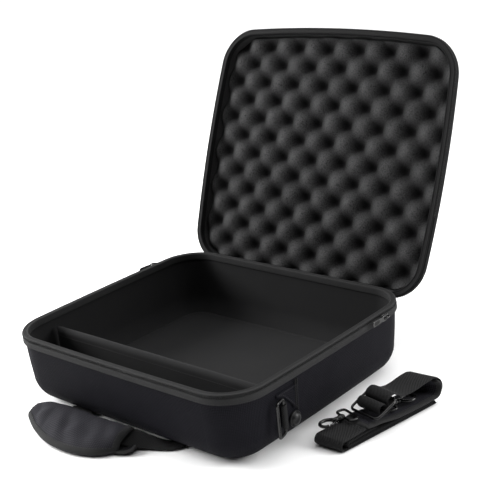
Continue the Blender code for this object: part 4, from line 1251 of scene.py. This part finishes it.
# middle line of the wrap: (share of the width, height share of the top, flat height, 1 on the lower layer)
G_LINE = [(0.95, 0.0, 0.0023, 1.0), (0.70, 0.0, 0.0023, 1.0), (0.45, 0.0, 0.0023, 1.0), (0.24, 0.0, 0.0023, 1.0),
          (0.10, 0.0, 0.0025, 0.9), (0.035, 0.0, 0.0030, 0.6), (0.008, 0.0, 0.0044, 0.3), (0.020, 0.10, 0.0046, 0.1),
          (0.075, 0.26, 0.0030, 0.0), (0.160, 0.45, 0.0012, 0.0), (0.27, 0.62, 0.0, 0.0), (0.42, 0.76, 0.0, 0.0),
          (0.58, 0.845, 0.0, 0.0), (0.74, 0.90, 0.0, 0.0), (0.87, 0.915, 0.0, 0.0), (0.945, 0.875, 0.0, 0.0),
          (0.975, 0.79, 0.0, 0.0), (0.972, 0.68, 0.0, 0.0)]


def grip_wrinkle(x, y, w):
    """Soft folds that cross the grip, deeper near the bound edge."""
    a = (x + 0.085) * 62.0 + (y + 0.20) * 38.0
    b = (x - 0.010) * 48.0 - (y + 0.20) * 55.0
    r = 0.00075 * math.sin(a * 3.1 + 1.3 * noise.noise(Vector((x * 26, y * 26, 1.0))))
    r += 0.0006 * math.sin(b * 3.0 + 2.0 * noise.noise(Vector((x * 20, y * 30, 5.0))))
    r += 0.0012 * noise.noise(Vector((x * 36.0, y * 46.0, 2.0)))
    r -= 0.0014 * math.exp(-((x + 0.098 + 0.35 * (y + 0.20)) / 0.0055) ** 2) * (1.0 - w)
    r -= 0.0012 * math.exp(-((x + 0.122 + 0.60 * (y + 0.20)) / 0.0045) ** 2) * (1.0 - w)
    r -= 0.0010 * math.exp(-((x + 0.030 - 0.20 * (y + 0.20)) / 0.0070) ** 2) * w
    return r


profile = smooth_profile([(a, b, c, d) for a, b, c, d in G_LINE], 5)
NC = 120
grid = []
for i in range(NC + 1):
    xs = -0.1465 + (0.0285 + 0.1465) * i / NC
    row = []
    for w, hk_, flat_z, low in profile:
        x = xs + low * 0.050 * (xs + 0.1465)
        yn, yf, h = lerp_table(G_NEAR, x), lerp_table(G_FOLD, x), lerp_table(G_TOP, x)
        y = yn + (yf - yn) * w
        k = min(1.0, (yf - yn) / 0.052)
        z = flat_z * (1.0 if low > 0.5 else (0.55 + 0.45 * k)) + h * hk_
        if low < 0.15:
            z += grip_wrinkle(x, y, w) * min(1.0, w * 5.0) * (1.0 - 0.75 * min(1.0, max(0.0, (w - 0.55) / 0.3))) * min(1.0, max(0.0, (x + 0.1465) / 0.012))
        if low > 0.5 and x > 0.024:
            z += 0.0022 * ((x - 0.024) / 0.0130) ** 1.6
        if low < 0.15 and xs > 0.012:
            z -= 0.0016 * ((xs - 0.012) / 0.0165) ** 2 * (1.0 - w)
        row.append(Vector((x, y, z)))
    grid.append(row)
nj = len(profile)


def grip_thick(i, j):
    e = min(i, NC - i) / NC
    t = 0.0036 * (0.72 + 0.28 * min(1.0, e / 0.035))
    return t * (0.80 if profile[j][3] > 0.5 else 1.0)


grip, gn, gth = thick_sheet("grip_wrap", grid, grip_thick, [GRIPCLOTH, LINING],
                            slot_of=lambda i, j, s: 0 if s >= 0 else 1)
add(grip, "handle", "padding", "handle_grip", padded=0.9)
j_near = min(range(nj), key=lambda j: profile[j][0])
j_fold = max(j for j in range(nj) if profile[j][0] > 0.96 or j == nj - 1)
sgn = 1.0 if gn[NC // 2][(j_near + nj) // 2].z > 0 else -1.0
gup = [[n * sgn for n in r] for r in gn]
bands, seams = [], []
near_lines = []
for i in range(NC + 1):
    js = list(range(j_near, nj))
    near_lines.append(([grid[i][j] for j in js], [gup[i][j] for j in js], [gth[i][j] for j in js]))
bands.append(edge_band("bind_near", near_lines, 0.0066, 0.0007, 0.0002, BAND))
right_lines = []
for j in range(j_near + 3, nj):
    iis = list(range(NC, NC - 16, -1))
    right_lines.append(([grid[i][j] for i in iis], [gup[i][j] for i in iis], [gth[i][j] for i in iis]))
bands.append(edge_band("bind_right", right_lines, 0.0070, 0.0008, 0.0030, BAND))
left_lines = []
for j in range(j_near + 3, nj):
    iis = list(range(0, 14))
    left_lines.append(([grid[i][j] for i in iis], [gup[i][j] for i in iis], [gth[i][j] for i in iis]))
bands.append(edge_band("bind_left", left_lines, 0.0062, 0.0008, 0.0030, BAND))


def seam(lines, d, h):
    path, nrm = [], []
    for pts, ns, hs in lines:
        acc = 0.0
        for k in range(1, len(pts)):
            step = (pts[k] - pts[k - 1]).length
            if acc + step >= d:
                t = (d - acc) / step
                n = ns[k - 1].lerp(ns[k], t).normalized()
                path.append(pts[k - 1].lerp(pts[k], t) + n * ((hs[k - 1] + (hs[k] - hs[k - 1]) * t) + h))
                nrm.append(n)
                break
            acc += step
    return path, nrm


for tag, lines, d in (("near", near_lines[3:-3], 0.0055), ("right", right_lines[:-2], 0.0059), ("left", left_lines[:-2], 0.0051)):
    pth, nr_ = seam(lines, d, 0.0007)
    seams.append(stitches("grip_st_" + tag, pth, nr_, length=0.0026, gap=0.0014, r=0.00036))
# the wrap's under layer shows past its right end as a thick turned-up flap
outer = catmull([Vector(p) for p in ((0.0100, -0.2130, 0.0034), (0.0218, -0.2102, 0.0034), (0.0325, -0.2085, 0.0036),
                                     (0.0410, -0.2040, 0.0040), (0.0455, -0.1975, 0.0052), (0.0452, -0.1915, 0.0078))], 8)
inner = catmull([Vector(p) for p in ((0.0080, -0.2010, 0.0030), (0.0170, -0.1992, 0.0028), (0.0255, -0.1975, 0.0030),
                                     (0.0315, -0.1945, 0.0030), (0.0350, -0.1905, 0.0034), (0.0360, -0.1865, 0.0046))], 8)
flap_grid = [[a.lerp(b, k / 10) - Vector((0, 0, 0.0006 * math.sin(math.pi * k / 10))) for k in range(11)]
             for a, b in zip(outer, inner)]
flap, fn_, fth_ = thick_sheet("grip_flap", flap_grid, 0.0030, [GRIPCLOTH, LINING])
add(flap, "handle", "padding", padded=0.9)
fs_ = 1.0 if fn_[16][5].z > 0 else -1.0
flap_lines = [(flap_grid[i][:8], [n * fs_ for n in fn_[i][:8]], fth_[i][:8]) for i in range(len(flap_grid))]
bands.append(edge_band("bind_flap", flap_lines, 0.0046, 0.0006, 0.0030, BAND))
add(joined("grip_binding", bands), "handle", "padding")
add(joined("grip_stitching", seams), "handle", "padding")


# ------------------------------------------------------------------ shoulder strap
SA = math.radians(10.0)
S0 = (0.2405, -0.0710)
ACROSS = Vector((math.cos(SA), -math.sin(SA), 0))


def sp(u, v, z):
    return Vector((S0[0] + u * math.sin(SA) + v * math.cos(SA),
                   S0[1] + u * math.cos(SA) - v * math.sin(SA), z))


def arc(cu, cz, r, a0, a1, n):
    return [(cu + r * math.cos(math.radians(a0 + (a1 - a0) * i / n)),
             cz + r * math.sin(math.radians(a0 + (a1 - a0) * i / n))) for i in range(n + 1)]


def warp(ob):
    """The strap's folds lie a little askew, the near one fuller on its left."""
    for vert in ob.data.vertices:
        x, y, z = vert.co
        dx, dy = x - S0[0], y - S0[1]
        u, v = dx * math.sin(SA) + dy * math.cos(SA), dx * math.cos(SA) - dy * math.sin(SA)
        near = min(max((0.055 - u) / 0.040, 0.0), 1.0)
        far = min(max((u - 0.105) / 0.045, 0.0), 1.0)
        near, far = near * near * (3 - 2 * near), far * far * (3 - 2 * far)
        right = min(max((v + 0.019) / 0.038, 0.0), 1.0)
        z *= 1.0 - 0.12 * right * near
        vert.co = sp(u + v * (0.22 * near + 0.25 * far), v, z)
    ob.data.update()
    return ob


low_run = [(0.062, 0.0106), (0.036, 0.0106), (0.0170, 0.0106)]
low_run += arc(0.0145, 0.0079, 0.0027, 90, 270, 4)[1:]
low_run += [(0.040, 0.0050), (0.080, 0.0048), (0.120, 0.0048), (0.155, 0.0048)]
low_run += arc(0.1570, 0.0031, 0.0018, 70, -70, 3)
low_run += [(0.120, 0.0013), (0.080, 0.0013), (0.040, 0.0013), (0.0095, 0.0013)]
low_run += arc(0.0085, 0.0082, 0.0069, -100, -260, 6)
low_run += [(0.020, 0.0152), (0.034, 0.0153), (0.0455, 0.0152)]


def strap_web(name, path, per=5, width=WEB_W, thick=WEB_T - 0.0001, seed=0.0, slots=0.0006):
    pts = catmull([sp(u, 0.0, z) for u, z in path], per)
    # the webbing wanders a little from side to side along its run
    pts = [p + ACROSS * (slots * noise.noise(Vector((k * 0.045 + seed, 2.0, 0.0)))) for k, p in enumerate(pts)]
    ob = ribbon(name, pts, ACROSS, width, thick, WEBBING, ripple=0.00015, seed=seed, sect_n=16)
    return warp(ob), pts


ob, pts = strap_web("strap_lower", low_run, seed=1.0)
add(ob, "strap", "webbing", "strap_webbing_lower")
edges = []
top_part = [sp(u, 0.0, z) for u, z in [(0.0115, 0.0150), (0.020, 0.0152), (0.034, 0.0153), (0.0452, 0.0152)]]
line = catmull(top_part, 8)
for v in (-0.0160, 0.0160):
    edges.append(stitches("sl%d" % int(v * 1000), [p + ACROSS * v + Vector((0, 0, 0.00095)) for p in line],
                          [Vector((0, 0, 1))] * len(line), length=0.0022, gap=0.0012, r=0.00030))
cross_line = [sp(0.0425, v, 0.0162) for v in [-0.0160 + 0.0320 * k / 16 for k in range(17)]]
edges.append(stitches("slx", cross_line, [Vector((0, 0, 1))] * 17, length=0.0022, gap=0.0008, r=0.00034))
cross_line = [sp(0.0385, v, 0.0162) for v in [-0.0160 + 0.0320 * k / 16 for k in range(17)]]
edges.append(stitches("sly", cross_line, [Vector((0, 0, 1))] * 17, length=0.0022, gap=0.0008, r=0.00034))
add(warp(joined("strap_lower_stitches", edges)), "strap", "webbing")

# padded shoulder piece with bound edges, its far end curled up and over
pad = [(0.0470, 0.0156), (0.060, 0.0156), (0.074, 0.0142), (0.090, 0.0112), (0.110, 0.0095),
       (0.130, 0.0092), (0.148, 0.0093)]
pad += arc(0.1570, 0.0205, 0.0112, -80, 62, 8)
line = catmull([sp(u, 0.0, z) for u, z in pad], 7)
PN = 22
grid = []
for i, p in enumerate(line):
    a, b = line[max(i - 1, 0)], line[min(i + 1, len(line) - 1)]
    t = (b - a).normalized()
    up = t.cross(ACROSS).normalized()
    end = min(i, len(line) - 1 - i) / 9.0
    hw = 0.0196 * (1.0 if end > 1 else 0.93 + 0.07 * math.sqrt(max(0.0, 1 - (1 - end) ** 2)))
    row = []
    for k in range(PN + 1):
        s = -1 + 2 * k / PN
        q = p + ACROSS * (s * hw)
        q = q + up * (0.0007 * (1 - s * s) * (-1 if up.z < 0 else 1) * 0.0 + 0.0005 * noise.noise(Vector((q.x * 60, q.y * 60, i * 0.08))))
        row.append(q)
    grid.append(row)
npt = len(grid)


def pad_thick(i, j):
    s = abs(-1 + 2 * j / PN)
    e = min(i, npt - 1 - i)
    puff = 0.0028 + 0.0018 * (1 - max(0.0, (s - 0.55) / 0.45) ** 2)
    return puff * (0.60 + 0.40 * min(1.0, e / 6.0))


body, pn_, pth_ = thick_sheet("pad_body", grid, pad_thick, [AIRMESH, GRIPCLOTH],
                              slot_of=lambda i, j, s: 0 if s >= 0 else 1)
add(warp(body), "strap", "padding", "shoulder_pad", padded=0.9)
flip = 1.0
bands = []
side_a = [([grid[i][j] for j in range(0, 8)], [pn_[i][j] for j in range(0, 8)], [pth_[i][j] for j in range(0, 8)])
          for i in range(npt)]
side_b = [([grid[i][PN - j] for j in range(0, 8)], [pn_[i][PN - j] for j in range(0, 8)],
           [pth_[i][PN - j] for j in range(0, 8)]) for i in range(npt)]
end_a = [([grid[i][j] for i in range(0, 10)], [pn_[i][j] for i in range(0, 10)], [pth_[i][j] for i in range(0, 10)])
         for j in range(PN + 1)]
for nm, lines, wd in (("sa", side_a, 0.0042), ("sb", side_b, 0.0042), ("ea", end_a, 0.0060)):
    bands.append(edge_band("pad_bind_" + nm, lines, wd, 0.0006, wd * 0.8, BAND))
add(warp(joined("pad_binding", bands)), "strap", "padding")
seams = []
for nm, lines, d in (("sa", side_a, 0.0034), ("sb", side_b, 0.0034), ("ea", end_a, 0.0050)):
    for sg in (1.0, -1.0):
        use = [(p, [n * sg for n in ns], hs) for p, ns, hs in lines]
        pth, nr_ = seam(use, d, 0.0006)
        seams.append(stitches("pad_st_%s%d" % (nm, int(sg)), pth, nr_, length=0.0022, gap=0.0012, r=0.00030))
add(warp(joined("pad_stitching", seams)), "strap", "padding")

# slide adjuster: rounded cast frame with a middle bar
AT = math.radians(20.0)
AC = (0.0770, 0.0290)


def adj(p, q, h=0.0):
    return sp(AC[0] + p * math.cos(AT) - h * math.sin(AT), q, AC[1] + p * math.sin(AT) + h * math.cos(AT))


def rel(points):
    return [(AC[0] + p * math.cos(AT) - h * math.sin(AT),
             AC[1] + p * math.sin(AT) + h * math.cos(AT)) for p, h in points]


def round_rect(w, h, r, n=8, cx=0.0, cy=0.0, step=0.0020):
    pts = []
    for sx_, sy_, a0 in ((1, -1, -90), (1, 1, 0), (-1, 1, 90), (-1, -1, 180)):
        for k in range(n + 1):
            a = math.radians(a0 + 90 * k / n)
            pts.append((cx + sx_ * (w / 2 - r) + r * math.cos(a), cy + sy_ * (h / 2 - r) + r * math.sin(a)))
    fine = []
    for i in range(len(pts)):
        a, b = Vector(pts[i]), Vector(pts[(i + 1) % len(pts)])
        k = max(1, int((b - a).length / step))
        fine += [tuple(a.lerp(b, j / k)) for j in range(k)]
    return fine


nrm_adj = Vector((-math.sin(AT) * math.sin(SA), -math.sin(AT) * math.cos(SA), math.cos(AT)))
frame = tube("adj_frame", [adj(p, q) for p, q in round_rect(0.0360, 0.0450, 0.0060)], 0.0017, METAL, sides=18,
             closed=True, up=nrm_adj, flat=0.92)
bar = tube("adj_bar", [adj(0.0, -0.0222 + 0.0444 * k / 16) for k in range(17)], 0.0014, METAL, sides=14,
           radii=[0.0017 if k in (0, 16) else (0.0015 if k in (1, 15) else 0.00135) for k in range(17)], up=nrm_adj)
add(joined("adjuster_frame", [frame, bar]), "strap", "black_metal", "slide_adjuster")

upper = arc(0.1570, 0.0205, 0.0152, -18, 92, 9)
upper += [(0.1480, 0.0352), (0.140, 0.0342), (0.128, 0.0325), (0.116, 0.0322), (0.106, 0.0345)]
upper += rel([(0.0220, 0.0046), (0.0175, 0.0068), (0.0125, 0.0068), (0.0085, 0.0046),
              (0.0068, 0.0012), (0.0072, -0.0028), (0.0100, -0.0052), (0.0150, -0.0060), (0.0200, -0.0062)])
ob, pts = strap_web("strap_upper", upper, per=6, seed=4.0, slots=0.0003)
add(ob, "strap", "webbing", "strap_webbing_upper")
loop_run = rel([(0.0080, -0.0085), (0.0020, -0.0085), (-0.0040, -0.0070), (-0.0075, -0.0035),
                (-0.0085, 0.0010), (-0.0070, 0.0050), (-0.0030, 0.0068), (0.0010, 0.0060),
                (0.0034, 0.0030), (0.0038, -0.0010), (0.0030, -0.0045)])
ob, pts = strap_web("strap_turn", loop_run, per=6, seed=7.0, slots=0.0)
add(ob, "strap", "webbing", "strap_webbing_loop")
st = []
for deg in (-8, 4):
    a = math.radians(deg)
    rr_ = 0.0152 + 0.00095
    out_n = Vector((math.sin(SA) * math.cos(a), math.cos(SA) * math.cos(a), math.sin(a)))
    pth = [sp(0.1570 + rr_ * math.cos(a), v, 0.0205 + rr_ * math.sin(a)) for v in [-0.0160 + 0.0320 * k / 16 for k in range(17)]]
    st.append(stitches("su%d" % deg, pth, [out_n] * 17, length=0.0022, gap=0.0008, r=0.00034))
add(warp(joined("strap_upper_stitches", st)), "strap", "webbing")

# two swivel snap hooks
for tag, (hu, hv, hz_, turn) in {"near": (0.0375, -0.0170, 0.0206, 172.0),
                                 "far": (0.1120, 0.0010, 0.0172, -14.0)}.items():
    ca, sa = math.cos(math.radians(turn)), math.sin(math.radians(turn))

    def hk(a, b, c=0.0):
        return sp(hu + a * ca + b * sa, hv - a * sa + b * ca, hz_ + c)

    up = Vector((0, 0, 1))
    eye = tube("eye_loop_" + tag, [hk(-a, b) for a, b in round_rect(0.0120, 0.0300, 0.0040, cx=0.0110)], 0.0016,
               METAL, sides=16, closed=True, up=up)
    prof = [(-0.0066, 0.0022), (-0.0060, 0.0030), (-0.0050, 0.0034), (-0.0042, 0.0039), (-0.0034, 0.0040),
            (-0.0026, 0.0036), (-0.0022, 0.0033), (-0.0018, 0.0036), (-0.0010, 0.0040), (0.0004, 0.0040),
            (0.0012, 0.0036), (0.0018, 0.0034), (0.0026, 0.0034), (0.0030, 0.0030)]
    barrel = tube("barrel_" + tag, [hk(a, 0) for a, _ in prof], 0.004, METAL, sides=24, radii=[r for _, r in prof], up=up)
    add(joined("eye_" + tag, [eye, barrel]), "strap", "black_metal", "swivel_eye_" + tag)
    pts = [(0.0036, 0.0, 0.0024), (0.0042, 0.0, 0.0032), (0.0060, 0.0, 0.0033), (0.0072, 0.0003, 0.0028), (0.0085, 0.0012, 0.0028),
           (0.0110, 0.0040, 0.0023), (0.0150, 0.0064, 0.0021), (0.0200, 0.0068, 0.0021), (0.0245, 0.0052, 0.0021),
           (0.0275, 0.0012, 0.0021), (0.0272, -0.0032, 0.0020), (0.0245, -0.0062, 0.0019), (0.0205, -0.0068, 0.0017)]
    fine = catmull([Vector((a, b, r)) for a, b, r in pts], 5)
    hook = tube("hook_body_" + tag, [hk(p.x, p.y) for p in fine], 0.002, METAL, sides=18, radii=[p.z for p in fine],
                up=up, flat=1.0)
    pin = tube("hook_pin_" + tag, [hk(0.0100, -0.0003 - 0.0006 + 0.0, c) for c in (-0.0026, -0.0024, 0.0024, 0.0026)], 0.0009,
               METAL, sides=14, radii=[0.0006, 0.0009, 0.0009, 0.0006], up=Vector((1, 0, 0)))
    add(joined("snap_" + tag, [hook, pin]), "hook_" + tag, "black_metal", "snap_hook_" + tag)
    gpts = [(0.0094, -0.0040), (0.0106, -0.0049), (0.0120, -0.0056), (0.0150, -0.0066), (0.0182, -0.0068)]
    fine = catmull([hk(a, b) for a, b in gpts], 5)
    gate = tube("gate_bar_" + tag, fine, 0.0012, METAL, sides=14,
                radii=[0.0013 - 0.0002 * abs(k / (len(fine) - 1) - 0.5) for k in range(len(fine))], up=up)
    thumb = tube("gate_thumb_" + tag, [hk(0.0128, -0.0060 - 0.0003 * k) for k in range(5)], 0.0010, METAL, sides=12,
                 radii=[0.0006, 0.0010, 0.0011, 0.0010, 0.0006], up=up)
    add(joined("gate_" + tag + "_lever", [gate, thumb]), "gate_" + tag, "black_metal", "hook_gate_" + tag)

# ------------------------------------------------------------------ zipper sliders
SLIDE_Y = 0.1060
for sx, tag in ((1, "right"), (-1, "left")):
    x0 = wall_x(SLIDE_Y, 0.0) + 0.0042
    zc = RIM_Z - 0.0046
    rings = []
    for k in range(19):
        f = -1 + 2 * k / 18
        y = 0.0062 * f
        hw = 0.0030 + 0.0014 * math.exp(-((f + 0.45) / 0.5) ** 2) - 0.0006 * max(f, 0)
        hw *= math.sqrt(max(0.0, 1 - abs(f) ** 6)) * 0.85 + 0.15
        t = 0.0022 * (math.sqrt(max(0.0, 1 - abs(f) ** 4)) * 0.6 + 0.4)
        ring = []
        for q in range(16):
            a = 2 * math.pi * q / 16
            cz, cx_ = math.cos(a), math.sin(a)
            ring.append(Vector((sx * (x0 - 0.0006 + t * (0.5 + 0.5 * abs(cx_) ** 0.5 * (1 if cx_ > 0 else -1))),
                                SLIDE_Y + y, zc + hw * abs(cz) ** 0.6 * (1 if cz > 0 else -1))))
        rings.append(ring)
    plate = loft("slider_plate_" + tag, rings, METAL, smooth=50.0)
    crown = catmull([Vector((sx * (x0 + 0.0010 + h), SLIDE_Y + y, zc)) for y, h in
                     ((-0.0042, -0.0002), (-0.0038, 0.0026), (-0.0018, 0.0041), (0.0018, 0.0041), (0.0038, 0.0026), (0.0042, -0.0002))], 5)
    arch = tube("slider_crown_" + tag, crown, 0.0008, METAL, sides=12, up=Vector((0, 0, 1)), flat=1.3)
    add(joined("slider_" + tag, [plate, arch]), "slider_" + tag, "black_metal", "zip_slider_" + tag)
    # pull tab with an eye, a waist and a ribbed tongue
    outer = round_rect(0.0310, 0.0076, 0.0030, 8, cx=-0.0148)
    outer = [(p, q * (1.0 - 0.22 * math.exp(-((p + 0.0105) / 0.0030) ** 2))) for p, q in outer]
    inner = round_rect(0.0060, 0.0042, 0.0012, 6, cx=-0.0037)

    def tab_pt(p, q, h):
        return Vector((sx * (x0 + 0.0030 + h), SLIDE_Y + p, zc + q))

    n_o, n_i = len(outer), len(inner)
    vs, fs = [], []
    for h, d in ((-0.0006, 0.0004), (-0.0003, 0.0), (0.0003, 0.0), (0.0006, 0.0004)):
        base_o = inset(outer, d) if d else outer
        vs += [tab_pt(p, q, h) for p, q in base_o]
    for h, d in ((-0.0006, -0.0003), (-0.0003, 0.0), (0.0003, 0.0), (0.0006, -0.0003)):
        base_i = inset(inner, d) if d else inner
        vs += [tab_pt(p, q, h) for p, q in base_i]
    for r in range(3):
        for k in range(n_o):
            m = (k + 1) % n_o
            fs.append((r * n_o + k, r * n_o + m, (r + 1) * n_o + m, (r + 1) * n_o + k))
    bi = 4 * n_o
    for r in range(3):
        for k in range(n_i):
            m = (k + 1) % n_i
            fs.append((bi + (r + 1) * n_i + k, bi + (r + 1) * n_i + m, bi + r * n_i + m, bi + r * n_i + k))
    for lay, flip_ in ((0, True), (3, False)):
        ko, ki = 0, 0
        ang_o = [math.atan2(q, p + 0.0037) for p, q in outer]
        ang_i = [math.atan2(q, p + 0.0037) for p, q in inner]
        # bridge by matching the share of the way round
        so = min(range(n_o), key=lambda k: abs(ang_o[k]))
        si = min(range(n_i), key=lambda k: abs(ang_i[k]))
        a_, b_ = 0, 0
        while a_ < n_o or b_ < n_i:
            o0, i0 = lay * n_o + (so + a_) % n_o, bi + lay * n_i + (si + b_) % n_i
            fo = (ang_o[(so + a_ + 1) % n_o] - ang_o[so]) % (2 * math.pi) if a_ < n_o - 1 else 2 * math.pi
            fi = (ang_i[(si + b_ + 1) % n_i] - ang_i[si]) % (2 * math.pi) if b_ < n_i - 1 else 2 * math.pi
            if b_ >= n_i or (a_ < n_o and fo <= fi):
                tri_ = (o0, lay * n_o + (so + a_ + 1) % n_o, i0)
                a_ += 1
            else:
                tri_ = (o0, bi + lay * n_i + (si + b_ + 1) % n_i, i0)
                b_ += 1
            fs.append(tri_[::-1] if flip_ else tri_)
    if volume(vs, fs) < 0:
        fs = [tuple(reversed(f)) for f in fs]
    flat_tab = mesh("tab_plate_" + tag, vs, fs, METAL, smooth=35.0)
    ribs = []
    for k in range(6):
        y = -0.0170 - 0.0018 * k
        ribs.append(tube(f"tab_rib{k}{tag}", [tab_pt(y, -0.0026 + 0.0052 * j / 6, 0.0006) for j in range(7)], 0.00042, METAL,
                         sides=8, radii=[0.0002, 0.0004, 0.0004, 0.0004, 0.0004, 0.0004, 0.0002], up=Vector((1, 0, 0))))
    add(joined("pull_tab_" + tag, [flat_tab] + ribs), "pull_" + tag, "black_metal", "zip_pull_" + tag)

# ------------------------------------------------------------------ stage
def finish_scene():
    floor_mat = Graph("studio_floor", rough=0.75, spec=0.15)
    floor_mat.b.inputs["Base Color"].default_value = (0.97, 0.97, 0.97, 1.0)
    fs = 6.0
    floor = mesh("studio_floor", [Vector(p) for p in ((-fs, -fs, -0.0006), (fs, -fs, -0.0006), (fs, fs, -0.0006),
                                                       (-fs, fs, -0.0006))], [(0, 1, 2, 3)], floor_mat.m)
    world = bpy.data.worlds.new("studio")
    bpy.context.scene.world = world
    world.use_nodes = True
    nt = world.node_tree
    bg = nt.nodes["Background"]
    bg.inputs[0].default_value = (1.0, 1.0, 1.0, 1.0)
    # white cove ahead, dark studio on the near side
    co = nt.nodes.new("ShaderNodeTexCoord")
    dot = nt.nodes.new("ShaderNodeVectorMath")
    dot.operation = "DOT_PRODUCT"
    dot.inputs[1].default_value = (0.66, -0.73, 0.10)
    nt.links.new(co.outputs["Generated"], dot.inputs[0])
    ramp = nt.nodes.new("ShaderNodeMapRange")
    ramp.interpolation_type = "SMOOTHSTEP"
    ramp.inputs["From Min"].default_value = -0.45
    ramp.inputs["From Max"].default_value = 0.55
    ramp.inputs["To Min"].default_value = 1.0
    ramp.inputs["To Max"].default_value = 0.03
    nt.links.new(dot.outputs["Value"], ramp.inputs["Value"])
    nt.links.new(ramp.outputs["Result"], bg.inputs[1])

    def area(name, loc, aim, size, power, size_y=None):
        d = bpy.data.lights.new(name, "AREA")
        d.energy, d.size = power, size
        if size_y:
            d.shape, d.size_y = "RECTANGLE", size_y
        ob = bpy.data.objects.new(name, d)
        bpy.context.scene.collection.objects.link(ob)
        ob.location = loc
        ob.rotation_euler = (Vector(aim) - Vector(loc)).to_track_quat("-Z", "Y").to_euler()
        return ob

    area("left_soft", (-1.9, -1.1, 1.1), (-0.1, -0.1, 0.05), 1.0, 66.0)
    area("right_soft", (1.7, 1.0, 0.9), (0.1, 0.0, 0.05), 1.0, 36.0)
    area("kicker", (-0.90, -1.40, 1.30), (0.1, -0.1, 0.03), 0.18, 1.5)
    area("lid_side", (-1.60, -0.25, 0.90), (0.0, 0.24, 0.22), 0.6, 20.0)
    d = bpy.data.lights.new("overhead", "SUN")
    d.energy, d.angle = 2.0, math.radians(75.0)
    ob = bpy.data.objects.new("overhead", d)
    bpy.context.scene.collection.objects.link(ob)
    ob.rotation_euler = (math.radians(-8.0), math.radians(6.0), 0.0)


finish_scene()
bpy.context.scene.view_settings.view_transform = "Standard"
low, high = cad_box
